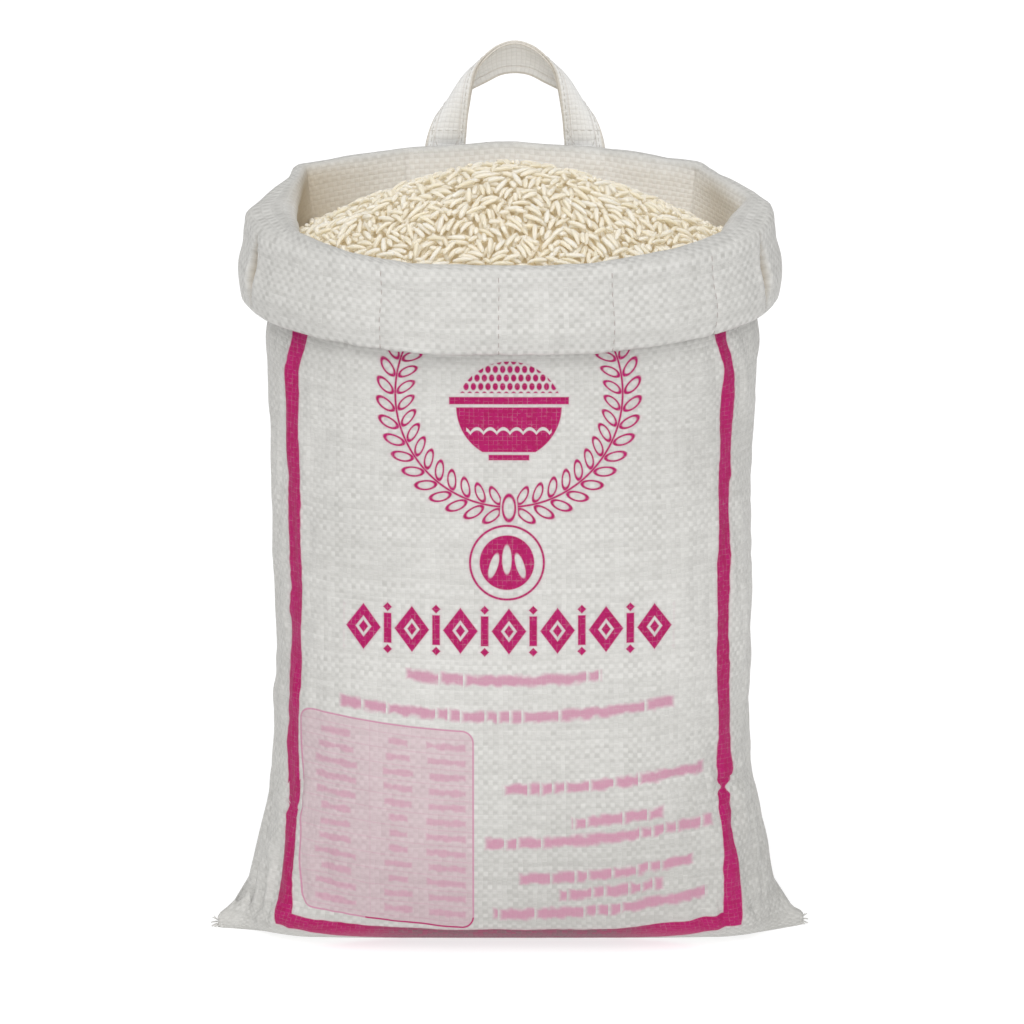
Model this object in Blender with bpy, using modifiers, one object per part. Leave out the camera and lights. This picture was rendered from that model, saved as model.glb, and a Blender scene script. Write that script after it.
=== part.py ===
"""Open sack of rice: a woven cloth sack that stands on its sewn bottom, its mouth turned down into a cuff,
filled with long-grain rice heaped above the mouth, and with a carrying strap sewn to the back of the cuff.

Metres, +Z up. The front of the sack faces -Y. The origin is on the floor, under the middle of the sack.
"""

import math
import random

import bmesh
import bpy
from mathutils import Matrix, Vector

MM = 0.001

# Cloth, counted in columns of weave that run up the sack from its bottom to the cuff's hem
COLUMNS = 64
QUARTER = COLUMNS // 4
CLOTH_THICKNESS = 1.6 * MM
CLEARANCE = 0.7 * MM

# Level sections of the standing sack: height, half width, half depth, squareness (2 is an ellipse)
BODY_SECTIONS = (
    (0.0, 124.0, 37.0, 6.0),
    (8.0, 129.5, 59.0, 4.0),
    (20.0, 131.5, 70.0, 3.1),
    (45.0, 126.5, 80.5, 2.85),
    (90.0, 119.8, 84.5, 2.7),
    (165.0, 118.6, 85.0, 2.7),
    (245.0, 120.0, 83.0, 2.6),
    (305.0, 122.3, 80.5, 2.4),
)
BOTTOM_ROUNDING = 45.0 * MM
BODY_ROWS = (0.0, 3.5, 8.0, 14.0, 20.5, 32.0, 50.0, 85.0, 140.0, 225.0, 305.0)

# Ears: the two ends of the bottom seam, pressed flat, that stand out past the filled cloth
EAR_REACH = 147.8 * MM
EAR_TIP_HEIGHT = 3.5 * MM
EAR_HEIGHT = 20.5 * MM
EAR_TIP_HALF_THICKNESS = 2.0 * MM
EAR_ROOT_HALF_THICKNESS = 33.0 * MM
EAR_FORWARD_LEFT = 14.0 * MM
EAR_FORWARD_RIGHT = 9.0 * MM
EAR_BEND = (127.0 * MM, 141.0 * MM)

# Mouth: the edge that the cloth turns over, as creases of the stiff cloth with straight runs between them:
# column, x, y, and how far the crease stands above the level of the mouth
MOUTH_EDGE = (
    (0, -108.5, 8.0, 0.0),
    (5, -105.5, -30.5, 0.0),
    (9, -83.0, -59.0, 0.0),
    (12, -54.0, -76.0, -0.5),
    (16, -8.0, -83.0, 0.0),
    (20, 41.5, -78.0, 0.0),
    (24, 79.0, -59.5, 0.5),
    (28, 105.0, -31.0, 0.0),
    (31, 112.0, -3.0, 0.0),
    (33, 120.5, 16.0, 0.0),
    (39, 94.0, 61.0, 0.5),
    (44, 49.0, 80.0, 1.2),
    (48, 3.0, 86.0, 3.2),
    (53, -52.0, 80.5, 2.0),
    (58, -103.5, 56.5, 1.6),
    (64, -108.5, 8.0, 0.0),
)
MOUTH_HEIGHT = 366.0 * MM
TILT = 0.1455
TILT_STARTS = 250.0 * MM
TILT_FULL = 322.0 * MM

# The wall below the mouth's edge: how far down, and how much of the way it has come to the edge's plan
NECK_SECTIONS = ((44.0, 0.0), (27.0, 0.35), (13.0, 0.75), (4.5, 1.0))
NECK_CLEARANCE = 1.5 * MM
NECK_HALF_WIDTH = 119.8 * MM
NECK_HALF_DEPTH = 80.8 * MM

# Over the edge: how far down the cloth lies, and how much of the way it has come to the cuff's shoulder
TURN_SECTIONS = ((1.9, 0.15), (1.7, 0.5), (2.6, 0.9))

# Cuff, from its shoulder down to the hem and in behind it: how far down, half width, half depth
CUFF_SECTIONS = (
    (8.5, 130.2, 88.8),
    (17.5, 131.2, 90.0),
    (28.0, 133.6, 91.0),
    (37.0, 133.3, 90.4),
    (42.0, 132.2, 89.2),
    (38.5, 130.9, 88.0),
)
CUFF_SQUARENESS = 2.08
SHOULDER_LIFT = 0.5
ROLL_WIDTH = 4.5 * MM
BACK_CREASES = ((33, 39), (39, 44), (44, 48), (48, 53), (53, 58), (58, 64))
BACK_FLATNESS = 0.75

# Folds at the cuff's two ends, where the flattened tube of cloth is tucked
TUCK_COLUMNS = (3, 29)
TUCK_DEPTH = 2.0 * MM

# Rice
RICE_EDGE_HEIGHT = 350.0 * MM
HEAP_HEIGHT = 40.0 * MM
HEAP_HALF_WIDTH = 107.0 * MM
HEAP_HALF_DEPTH = 82.0 * MM
HEAP_TOP_ROUNDING = 0.14
LOWEST_SHARE = -0.05
HEAP_CELL = 6.0 * MM
BLOCK_HALF_WIDTH = 140.0 * MM
BLOCK_HALF_DEPTH = 95.0 * MM
BLOCK_BOTTOM = -20.0 * MM
BUMP = 0.8 * MM
GRAIN_LENGTH = 9.0 * MM
GRAIN_WIDTH = 2.6 * MM
GRAIN_LIFT = 0.1 * MM
GRAIN_SIZES = (0.85, 1.1)
GRAIN_TIP = math.radians(11.0)
GRAIN_COUNT = 64
GRAIN_SIDES = 6
GRAIN_REACH = 0.9

# Carrying strap, left half: x from its middle, y and z of the front edge and of the back edge of the cloth,
# and how far the cloth between them stands out
STRAP_MIDDLE = 2.5 * MM
STRAP_THICKNESS = 2.0 * MM
STRAP_ROWS = (
    ((25.3, 92.3, 345.0), (44.9, 90.3, 345.0), 0.0),
    ((25.3, 92.3, 362.0), (44.9, 90.3, 362.0), 0.0),
    ((25.3, 91.8, 377.5), (44.9, 90.3, 378.0), 0.3),
    ((24.3, 89.8, 391.0), (41.5, 93.8, 389.3), 2.0),
    ((23.0, 88.0, 401.6), (36.0, 97.0, 397.0), 3.3),
    ((21.7, 87.0, 410.1), (29.5, 99.0, 402.2), 4.3),
    ((19.6, 86.5, 418.4), (22.8, 99.5, 406.2), 4.2),
    ((15.5, 86.5, 424.6), (14.5, 98.5, 410.5), 3.4),
    ((8.7, 86.5, 430.4), (7.2, 97.5, 414.4), 2.4),
    ((0.0, 86.5, 433.0), (0.0, 97.0, 415.6), 1.6),
)
STRAP_ARCH_FOOT = 385.0 * MM
STRAP_STEPS = 2
STRAP_ACROSS = 4


def clear_scene():
    for obj in list(bpy.data.objects):
        bpy.data.objects.remove(obj)


def new_collection(name):
    collection = bpy.data.collections.new(name)
    bpy.context.scene.collection.children.link(collection)
    return collection


def cloth_material(name, colour, roughness):
    material = bpy.data.materials.new(name)
    material.use_nodes = True
    surface = material.node_tree.nodes["Principled BSDF"]
    surface.inputs["Base Color"].default_value = (*colour, 1.0)
    surface.inputs["Roughness"].default_value = roughness
    surface.inputs["Metallic"].default_value = 0.0
    return material


def smooth_step(value, start, end):
    share = min(1.0, max(0.0, (value - start) / (end - start)))
    return share * share * (3 - 2 * share)


def body_section(height):
    """Half width, half depth and squareness at a height, on a smooth curve through BODY_SECTIONS."""
    rows = [(z * MM, a * MM, b * MM, n) for z, a, b, n in BODY_SECTIONS]
    last = len(rows) - 1
    at = max(i for i in range(last) if rows[i][0] <= height)
    start, end = rows[at], rows[at + 1]
    before, after = rows[max(at - 1, 0)], rows[min(at + 2, last)]
    span = end[0] - start[0]
    t = (height - start[0]) / span
    found = []
    for k in (1, 2, 3):
        leaving = (end[k] - before[k]) / (end[0] - before[0]) * span
        arriving = (after[k] - start[k]) / (after[0] - start[0]) * span
        found.append(
            (2 * t**3 - 3 * t**2 + 1) * start[k]
            + (t**3 - 2 * t**2 + t) * leaving
            + (3 * t**2 - 2 * t**3) * end[k]
            + (t**3 - t**2) * arriving
        )
    return found


def quarter_outline(half_width, half_depth, squareness, ear_reach=0.0):
    """A fine line from the side crease to the middle of a panel, over the ear where there is one."""
    line = []
    steps = 240
    for step in range(steps + 1):
        turn = 0.5 * math.pi * step / steps
        x = half_width * max(math.cos(turn), 0.0) ** (2 / squareness)
        y = half_depth * math.sin(turn) ** (2 / squareness)
        line.append((x, y))
    if ear_reach <= half_width:
        return line
    root = 0.85 * half_width
    sloped = EAR_ROOT_HALF_THICKNESS - EAR_TIP_HALF_THICKNESS
    line = [
        (x, max(y, EAR_TIP_HALF_THICKNESS + sloped * min(1.0, (ear_reach - x) / (ear_reach - root))))
        for x, y in line
    ]
    return [(ear_reach, 0.0), (ear_reach, EAR_TIP_HALF_THICKNESS)] + line


def even_points(line, count):
    """count + 1 points at even distances along a line."""
    lengths = [0.0]
    for (x0, y0), (x1, y1) in zip(line, line[1:]):
        lengths.append(lengths[-1] + math.hypot(x1 - x0, y1 - y0))
    points = []
    at = 0
    for step in range(count + 1):
        target = lengths[-1] * step / count
        while at < len(line) - 2 and lengths[at + 1] < target:
            at += 1
        share = (target - lengths[at]) / max(lengths[at + 1] - lengths[at], 1e-12)
        share = min(max(share, 0.0), 1.0)
        (x0, y0), (x1, y1) = line[at], line[at + 1]
        points.append((x0 + share * (x1 - x0), y0 + share * (y1 - y0)))
    return points


def ring(half_width, half_depth, squareness, ear_reach=0.0):
    """The plan of one row of cloth: COLUMNS points from the left side, along the front and round the back."""
    side = even_points(quarter_outline(half_width, half_depth, squareness, ear_reach), QUARTER)
    front_left = [(-x, -y) for x, y in side]
    front_right = [(x, -y) for x, y in reversed(side)]
    back_right = [(x, y) for x, y in side]
    back_left = [(-x, y) for x, y in reversed(side)]
    return front_left[:-1] + front_right[:-1] + back_right[:-1] + back_left[:-1]


def mixed(first, second, share):
    return [
        tuple(a + share * (b - a) for a, b in zip(start, end))
        for start, end in zip(first, second)
    ]


def mouth_edge(inset=0.0):
    """The plan of the mouth's edge, and how far it stands above the level of the mouth in every column."""
    plan = []
    lifts = []
    for (start, *begin), (end, *finish) in zip(MOUTH_EDGE, MOUTH_EDGE[1:]):
        for column in range(start, end):
            share = (column - start) / (end - start)
            x, y, lift = (MM * (a + share * (b - a)) for a, b in zip(begin, finish))
            kept = 1 - inset / math.hypot(x, y)
            plan.append((kept * x, kept * y))
            lifts.append(lift)
    return plan, lifts


def cuff_plan(half_width, half_depth):
    """A row of the cuff: an oval, flatter between the creases at the back, and never tight on the wall."""
    plan = ring(half_width, half_depth, CUFF_SQUARENESS)
    for start, end in BACK_CREASES:
        first, last = plan[start], plan[end % COLUMNS]
        for column in range(start + 1, end):
            chord = mixed([first], [last], (column - start) / (end - start))
            plan[column] = mixed([plan[column]], chord, BACK_FLATNESS)[0]
    for column, point in enumerate(mouth_edge()[0]):
        reach = math.hypot(*plan[column])
        least = math.hypot(*point) + ROLL_WIDTH
        if reach < least:
            plan[column] = tuple(size * least / reach for size in plan[column])
    return plan


def raised(plan, height, lifts=None):
    """A plan at its height. Near the mouth the rows tilt, the back higher than the front."""
    tilt = TILT * smooth_step(height, TILT_STARTS, TILT_FULL)
    lifts = lifts or [0.0] * COLUMNS
    return [Vector((x, y, height + tilt * y + lift)) for (x, y), lift in zip(plan, lifts)]


def bent_ears(plan):
    """Both ears bend forward, the left one more."""
    made = []
    for x, y in plan:
        forward = EAR_FORWARD_LEFT if x < 0 else EAR_FORWARD_RIGHT
        made.append((x, y - forward * smooth_step(abs(x), *EAR_BEND)))
    return made


def body_row(height, inset=0.0, with_ears=True):
    half_width, half_depth, squareness = body_section(height)
    if not with_ears or height >= EAR_HEIGHT:
        return raised(ring(half_width - inset, half_depth - inset, squareness), height)
    drawn_in = max(0.0, height - EAR_TIP_HEIGHT) / (EAR_HEIGHT - EAR_TIP_HEIGHT)
    ear_reach = EAR_REACH + drawn_in * (half_width - EAR_REACH)
    return raised(bent_ears(ring(half_width, half_depth, squareness, ear_reach)), height)


def neck_rows(inset=0.0):
    """The wall from the filled body up to the mouth's edge."""
    oval = ring(NECK_HALF_WIDTH - inset, NECK_HALF_DEPTH - inset, BODY_SECTIONS[-1][3])
    edge, lifts = mouth_edge(inset)
    return [
        raised(mixed(oval, edge, share), MOUTH_HEIGHT - drop * MM, [share * lift for lift in lifts])
        for drop, share in NECK_SECTIONS
    ]


def cuff_rows():
    """Over the mouth's edge and down the cuff to the hem, which is turned in."""
    edge, lifts = mouth_edge()
    shoulder = cuff_plan(CUFF_SECTIONS[0][1] * MM, CUFF_SECTIONS[0][2] * MM)
    rows = [
        raised(mixed(edge, shoulder, share), MOUTH_HEIGHT - drop * MM, lifts)
        for drop, share in TURN_SECTIONS
    ]
    for index, (drop, half_width, half_depth) in enumerate(CUFF_SECTIONS):
        plan = cuff_plan(half_width * MM, half_depth * MM)
        if 0 < index < len(CUFF_SECTIONS) - 2:
            for column in TUCK_COLUMNS:
                kept = 1 - TUCK_DEPTH / math.hypot(*plan[column])
                plan[column] = tuple(size * kept for size in plan[column])
        lifted = [SHOULDER_LIFT * lift for lift in lifts] if index == 0 else None
        rows.append(raised(plan, MOUTH_HEIGHT - drop * MM, lifted))
    return rows


def loft(name, rows, capped):
    """Quads between rows. The bottom, and a capped top, are closed from the front row to the back."""
    mesh = bmesh.new()
    lines = [[mesh.verts.new(point) for point in row] for row in rows]
    for lower, upper in zip(lines, lines[1:]):
        for column in range(COLUMNS):
            after = (column + 1) % COLUMNS
            mesh.faces.new((lower[column], lower[after], upper[after], upper[column]))
    closed = [lines[0][:1] + lines[0][:0:-1]]
    if capped:
        closed.append(lines[-1])
    for row in closed:
        for column in range(COLUMNS // 2):
            corners = (row[column], row[column + 1], row[-column - 1], row[-column])
            mesh.faces.new(list(dict.fromkeys(corners)))
    data = bpy.data.meshes.new(name)
    mesh.to_mesh(data)
    mesh.free()
    return bpy.data.objects.new(name, data)


def make_sack(collection):
    """One cloth from the sewn bottom up to the crest of the mouth, over it and down the cuff to its hem."""
    rows = [body_row(height * MM) for height in BODY_ROWS] + neck_rows() + cuff_rows()
    sack = loft("sack", rows, capped=False)
    collection.objects.link(sack)
    thickness = sack.modifiers.new("cloth thickness", "SOLIDIFY")
    thickness.thickness = CLOTH_THICKNESS
    thickness.offset = -1.0
    sack.data.materials.append(cloth_material("woven_cloth", (0.72, 0.71, 0.68), 0.75))
    sack.data.shade_smooth()
    return sack


def heap_height(x, y):
    """The smooth height of the heaped rice, level where it meets the cloth."""
    away = math.hypot(x / HEAP_HALF_WIDTH, y / HEAP_HALF_DEPTH)
    cone = 1 - math.hypot(away, HEAP_TOP_ROUNDING)
    dome = 1 - away * away
    return RICE_EDGE_HEIGHT + HEAP_HEIGHT * max((cone + dome) / 2, LOWEST_SHARE)


def heap_block():
    """A block from under the sack up to the heap, whose top has bumps of the size of the grains."""
    chance = random.Random(7)
    across = round(2 * BLOCK_HALF_WIDTH / HEAP_CELL)
    along = round(2 * BLOCK_HALF_DEPTH / HEAP_CELL)
    mesh = bmesh.new()
    bmesh.ops.create_grid(mesh, x_segments=across, y_segments=along, size=1.0)
    for vertex in mesh.verts:
        x = vertex.co.x * BLOCK_HALF_WIDTH
        y = vertex.co.y * BLOCK_HALF_DEPTH
        bump = BUMP * (2 * chance.random() - 1)
        vertex.co = (x, y, heap_height(x, y) + bump)
    down = bmesh.ops.extrude_face_region(mesh, geom=list(mesh.faces))["geom"]
    for vertex in (part for part in down if isinstance(part, bmesh.types.BMVert)):
        vertex.co.z = BLOCK_BOTTOM
    bmesh.ops.recalc_face_normals(mesh, faces=mesh.faces)
    data = bpy.data.meshes.new("rice")
    mesh.to_mesh(data)
    mesh.free()
    return bpy.data.objects.new("rice", data)


def grain_mesh():
    """One long grain of rice, pointed at both ends, along X."""
    mesh = bmesh.new()
    bmesh.ops.create_uvsphere(mesh, u_segments=GRAIN_SIDES, v_segments=3, radius=0.5)
    bmesh.ops.rotate(mesh, verts=mesh.verts, cent=(0, 0, 0), matrix=Matrix.Rotation(math.pi / 2, 3, "Y"))
    bmesh.ops.scale(mesh, verts=mesh.verts, vec=(GRAIN_LENGTH, GRAIN_WIDTH, GRAIN_WIDTH))
    bmesh.ops.recalc_face_normals(mesh, faces=mesh.faces)
    data = bpy.data.meshes.new("grain")
    mesh.to_mesh(data)
    mesh.free()
    return data


def scatter_grains(collection):
    """Grains lie on the heap, spread by the golden angle, each turned its own way and half sunk."""
    chance = random.Random(11)
    golden = math.pi * (3 - math.sqrt(5))
    shape = grain_mesh()
    for index in range(GRAIN_COUNT):
        reach = GRAIN_REACH * math.sqrt((index + 0.5) / GRAIN_COUNT)
        x = HEAP_HALF_WIDTH * reach * math.cos(golden * index)
        y = HEAP_HALF_DEPTH * reach * math.sin(golden * index)
        slope_x = (heap_height(x + MM, y) - heap_height(x - MM, y)) / (2 * MM)
        slope_y = (heap_height(x, y + MM) - heap_height(x, y - MM)) / (2 * MM)
        upright = Vector((-slope_x, -slope_y, 1)).normalized()
        grain = bpy.data.objects.new(f"grain_{index}", shape)
        turn = Matrix.Rotation(chance.uniform(0, math.tau), 4, "Z")
        tip = Matrix.Rotation(chance.uniform(-GRAIN_TIP, GRAIN_TIP), 4, "Y")
        lean = upright.to_track_quat("Z", "Y").to_matrix().to_4x4()
        place = Matrix.Translation((x, y, heap_height(x, y) + GRAIN_LIFT))
        size = Matrix.Scale(chance.uniform(*GRAIN_SIZES), 4)
        grain.matrix_world = place @ lean @ turn @ tip @ size
        collection.objects.link(grain)


def filling():
    """The space inside the cloth, carried straight up above the mouth, that the rice is cut to."""
    inset = CLOTH_THICKNESS + CLEARANCE
    rows = []
    for height in BODY_ROWS:
        row = body_row(height * MM, inset, with_ears=False)
        lift = inset * (1 - smooth_step(height * MM, 0.0, BOTTOM_ROUNDING))
        rows.append([point + Vector((0, 0, lift)) for point in row])
    rows += neck_rows(CLOTH_THICKNESS + NECK_CLEARANCE)
    rows.append([point + Vector((0, 0, 2 * HEAP_HEIGHT)) for point in rows[-1]])
    return loft("filling", rows, capped=True)


def boolean(target, operation, cutter=None, cutters=None):
    modifier = target.modifiers.new(operation.lower(), "BOOLEAN")
    modifier.operation = operation
    modifier.solver = "EXACT"
    if cutters:
        modifier.operand_type = "COLLECTION"
        modifier.collection = cutters
    else:
        modifier.object = cutter
    bpy.context.view_layer.update()
    graph = bpy.context.evaluated_depsgraph_get()
    done = bpy.data.meshes.new_from_object(target.evaluated_get(graph))
    target.modifiers.remove(modifier)
    target.data = done


def make_rice(collection):
    """The rice fills the sack to the mouth and is heaped above it: a core with grains fused on its top."""
    heap = heap_block()
    collection.objects.link(heap)
    grains = new_collection("grains")
    scatter_grains(grains)
    boolean(heap, "UNION", cutters=grains)
    for grain in list(grains.objects):
        bpy.data.objects.remove(grain)
    bpy.data.collections.remove(grains)

    inside = filling()
    collection.objects.link(inside)
    boolean(heap, "INTERSECT", cutter=inside)
    bpy.data.objects.remove(inside)
    heap.data.materials.clear()
    heap.data.materials.append(cloth_material("rice", (0.78, 0.70, 0.54), 0.45))
    return heap


def between(rows, steps):
    """The rows with extra ones between them, on smooth curves through the given ones."""
    made = []
    for at in range(len(rows) - 1):
        before, start, end = rows[max(at - 1, 0)], rows[at], rows[at + 1]
        after = rows[min(at + 2, len(rows) - 1)]
        for step in range(steps):
            t = step / steps
            made.append([
                b + 0.5 * t * (c - a + t * (2 * a - 5 * b + 4 * c - d + t * (3 * (b - c) + d - a)))
                for a, b, c, d in zip(before, start, end, after)
            ])
    return made + [rows[-1]]


def strap_row(front, back, bulge):
    """Points across the strap, which stands out between its two edges, away from the inside of the arch."""
    middle = (front + back) / 2
    across = (back - front).normalized()
    outward = Vector((middle.x, 0, middle.z - STRAP_ARCH_FOOT))
    outward = (outward - outward.dot(across) * across).normalized()
    points = []
    for k in range(STRAP_ACROSS + 1):
        share = k / STRAP_ACROSS
        points.append(front.lerp(back, share) + 4 * share * (1 - share) * bulge * outward)
    return points


def make_strap(collection):
    """A strap whose flat ends lie on the back of the cuff. Its arch leans its underside to the front."""
    numbers = [[*front, *back, bulge] for front, back, bulge in STRAP_ROWS]
    left = []
    for x0, y0, z0, x1, y1, z1, bulge in between(numbers, STRAP_STEPS):
        front, back = Vector((-x0, y0, z0)) * MM, Vector((-x1, y1, z1)) * MM
        left.append(strap_row(front, back, bulge * MM))
    right = [[Vector((-point.x, point.y, point.z)) for point in row] for row in reversed(left[:-1])]
    mesh = bmesh.new()
    lines = [
        [mesh.verts.new(point + Vector((STRAP_MIDDLE, 0, 0))) for point in row] for row in left + right
    ]
    for lower, upper in zip(lines, lines[1:]):
        for k in range(STRAP_ACROSS):
            mesh.faces.new((lower[k], upper[k], upper[k + 1], lower[k + 1]))
    data = bpy.data.meshes.new("strap")
    mesh.to_mesh(data)
    mesh.free()
    strap = bpy.data.objects.new("strap", data)
    collection.objects.link(strap)
    thickness = strap.modifiers.new("cloth thickness", "SOLIDIFY")
    thickness.thickness = STRAP_THICKNESS
    thickness.offset = 0.0
    strap.data.materials.append(cloth_material("strap_cloth", (0.74, 0.73, 0.70), 0.75))
    strap.data.shade_smooth()
    return strap


def main():
    clear_scene()
    collection = new_collection("open sack of rice")
    make_sack(collection)
    make_rice(collection)
    make_strap(collection)


main()
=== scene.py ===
"""An open sack of rice: woven cloth, a printed front, a mouth turned down into a cuff, a heap of long grains
and a carrying strap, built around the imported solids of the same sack. Metres, +Z up, the front faces -Y."""

import math

import bpy
import numpy as np
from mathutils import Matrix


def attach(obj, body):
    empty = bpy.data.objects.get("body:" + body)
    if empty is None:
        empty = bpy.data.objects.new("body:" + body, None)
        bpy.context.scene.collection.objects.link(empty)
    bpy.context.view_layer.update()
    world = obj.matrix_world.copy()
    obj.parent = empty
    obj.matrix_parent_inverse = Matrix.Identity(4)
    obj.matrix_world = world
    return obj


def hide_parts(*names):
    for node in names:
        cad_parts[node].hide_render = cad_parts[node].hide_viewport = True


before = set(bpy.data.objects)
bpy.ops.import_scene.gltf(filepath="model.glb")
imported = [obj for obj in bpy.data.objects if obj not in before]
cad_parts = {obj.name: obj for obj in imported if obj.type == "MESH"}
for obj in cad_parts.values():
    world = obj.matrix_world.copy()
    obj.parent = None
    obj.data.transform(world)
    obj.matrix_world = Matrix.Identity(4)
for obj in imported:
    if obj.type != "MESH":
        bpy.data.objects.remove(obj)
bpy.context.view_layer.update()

# Body of the sack: a tube of woven plastic tape, sewn flat across its bottom and filled until it stands. The
# cloth is a grid of columns that run up from the bottom seam, and rows that go round. Its two pressed bottom
# corners stand out as ears, and its top goes up behind the cuff.

MM = 0.001
COLUMNS = 640
PLAN_COLUMNS = 64
QUARTER_STEPS = 361
# Height, half width, half depth and squareness
BODY_SECTIONS = np.array((
    (0.0, 124.0, 37.0, 6.0),
    (8.0, 129.5, 59.0, 4.0),
    (20.0, 131.5, 70.0, 3.1),
    (45.0, 126.5, 80.5, 2.85),
    (90.0, 119.8, 84.5, 2.7),
    (165.0, 118.6, 85.0, 2.7),
    (245.0, 120.0, 83.0, 2.6),
    (305.0, 122.3, 80.5, 2.4),
))
BODY_HEIGHTS = (0, 1.5, 3.5, 5.5, 8, 11, 14, 17, 20.5, 26, 32, 40, 50, 65, 85, 110, 140, 180, 225, 265, 305)
EAR_REACH = 147.8
EAR_TIP_HEIGHT = 6.5
EAR_HEIGHT = 17.0
EAR_TIP_HALF_THICKNESS = 2.0
EAR_ROOT_HALF_THICKNESS = 33.0
EAR_ROOT = 0.85
EAR_FORWARD = (
    (-1.0, (100.0, 114.0, 126.0, 141.0, 148.0), (0.0, 3.0, 8.0, 13.0, 14.0)),
    (1.0, (100.0, 114.0, 126.0, 141.0, 148.0), (0.0, 5.0, 11.0, 10.0, 8.0)),
)
MOUTH_HEIGHT = 366.0
TILT = 0.1455
TILT_RISE = (250.0, 322.0)
NECK_SECTIONS = ((44.0, 0.0), (27.0, 0.35), (13.0, 0.75), (4.5, 1.0))
NECK_HALF_WIDTH = 119.8
NECK_HALF_DEPTH = 80.8
NECK_SQUARENESS = 2.4
# Column of the plan, x, y and lift
MOUTH_EDGE = np.array((
    (0, -108.5, 8.0, 0.0),
    (5, -105.5, -30.5, 0.0),
    (9, -83.0, -59.0, 0.0),
    (12, -54.0, -76.0, -0.5),
    (16, -8.0, -83.0, 0.0),
    (20, 41.5, -78.0, 0.0),
    (24, 79.0, -59.5, 0.5),
    (28, 105.0, -31.0, 0.0),
    (31, 110.6, -3.0, 0.0),
    (33, 118.3, 16.0, 0.0),
    (39, 94.0, 61.0, 0.5),
    (44, 49.0, 80.0, 1.2),
    (48, 3.0, 86.0, 3.2),
    (53, -52.0, 80.5, 2.0),
    (58, -103.5, 56.5, 1.6),
    (64, -108.5, 8.0, 0.0),
))
EDGE_SOFTENING = 4
EAR_SMOOTHING = 50
EAR_REGION = (100.0, 122.0)
EAR_REGION_TOP = (30.0, 55.0)
EAR_END = 147.0
EAR_TIP_KEPT = 8.0
SIDE_REGION = (60.0, 118.0)
LOW_REGION = (20.0, 120.0)
OUTLINE_REGION = (50.0, 116.0)
WRINKLES_ALL_OVER = 0.6
WRINKLES_LOW = 0.8
WRINKLES = ((0.50, 3, 34, 60.0), (0.26, 4, 90, 24.0))
SIDE_WRINKLES = ((0.55, 5, 150, 15.0),)
TAPE_ACROSS = 2.35
TAPES_ROUND = 282
BODY_SPACING = 3.0
LINING = 1.3
LINING_ROWS = 12
BACK_AWAY = 10.0


def smooth_step(value, start, end):
    share = np.clip((value - start) / (end - start), 0.0, 1.0)
    return share * share * (3 - 2 * share)


def smooth_rows(rows, places, wanted):
    """Rows on a smooth curve through the given rows, which lie at the given places along it."""
    flat = rows.reshape(len(rows), -1)
    gaps = np.diff(places)[:, None]
    slopes = np.diff(flat, axis=0) / gaps
    lean = np.concatenate((slopes[:1], slopes))
    lean[1:-1] = (slopes[:-1] * gaps[1:] + slopes[1:] * gaps[:-1]) / (gaps[:-1] + gaps[1:])
    at = np.clip(np.searchsorted(places, wanted, side="right") - 1, 0, len(rows) - 2)
    gap = gaps[at]
    t = (np.asarray(wanted)[:, None] - np.asarray(places)[at][:, None]) / gap
    found = (2 * t**3 - 3 * t**2 + 1) * flat[at] + (t**3 - 2 * t**2 + t) * gap * lean[at]
    found += (3 * t**2 - 2 * t**3) * flat[at + 1] + (t**3 - t**2) * gap * lean[at + 1]
    return found.reshape(len(at), *rows.shape[1:])


def ring(half_width, half_depth, squareness, ear_reach=0.0):
    """The plan of one row of cloth, from the left side along the front and round the back."""
    turn = np.linspace(0.0, math.pi / 2, QUARTER_STEPS)
    x = half_width * np.maximum(np.cos(turn), 0.0) ** (2 / squareness)
    y = half_depth * np.sin(turn) ** (2 / squareness)
    if ear_reach > half_width:
        slope = np.minimum(1.0, (ear_reach - x) / (ear_reach - EAR_ROOT * half_width))
        thicker = EAR_ROOT_HALF_THICKNESS - EAR_TIP_HALF_THICKNESS
        y = np.maximum(y, EAR_TIP_HALF_THICKNESS + thicker * slope)
        x = np.concatenate(([ear_reach, ear_reach], x))
        y = np.concatenate(([0.0, EAR_TIP_HALF_THICKNESS], y))
    length = np.concatenate(([0.0], np.cumsum(np.hypot(np.diff(x), np.diff(y)))))
    even = np.linspace(0.0, length[-1], COLUMNS // 4 + 1)
    x, y = np.interp(even, length, x), np.interp(even, length, y)
    plan_x = np.concatenate((-x[:-1], x[:0:-1], x[:-1], -x[:0:-1]))
    plan_y = np.concatenate((-y[:-1], -y[:0:-1], y[:-1], y[:0:-1]))
    return np.stack((plan_x, plan_y), axis=1)


def raised(plan, height, lifts=0.0):
    """A plan at its height. Near the mouth the rows tilt, the back higher than the front."""
    tilt = TILT * smooth_step(height, *TILT_RISE)
    return np.column_stack((plan, height + tilt * plan[:, 1] + lifts))


def body_row(height):
    half_width, half_depth, squareness = smooth_rows(BODY_SECTIONS[:, 1:], BODY_SECTIONS[:, 0], [height])[0]
    if height >= EAR_HEIGHT:
        return raised(ring(half_width, half_depth, squareness), height)
    drawn_in = max(0.0, height - EAR_TIP_HEIGHT) / (EAR_HEIGHT - EAR_TIP_HEIGHT)
    plan = ring(half_width, half_depth, squareness, EAR_REACH + drawn_in * (half_width - EAR_REACH))
    for sign, reach, forward in EAR_FORWARD:
        plan[:, 1] -= (1.0 - drawn_in) * np.interp(sign * plan[:, 0], reach, forward)
    return raised(plan, height)


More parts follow.
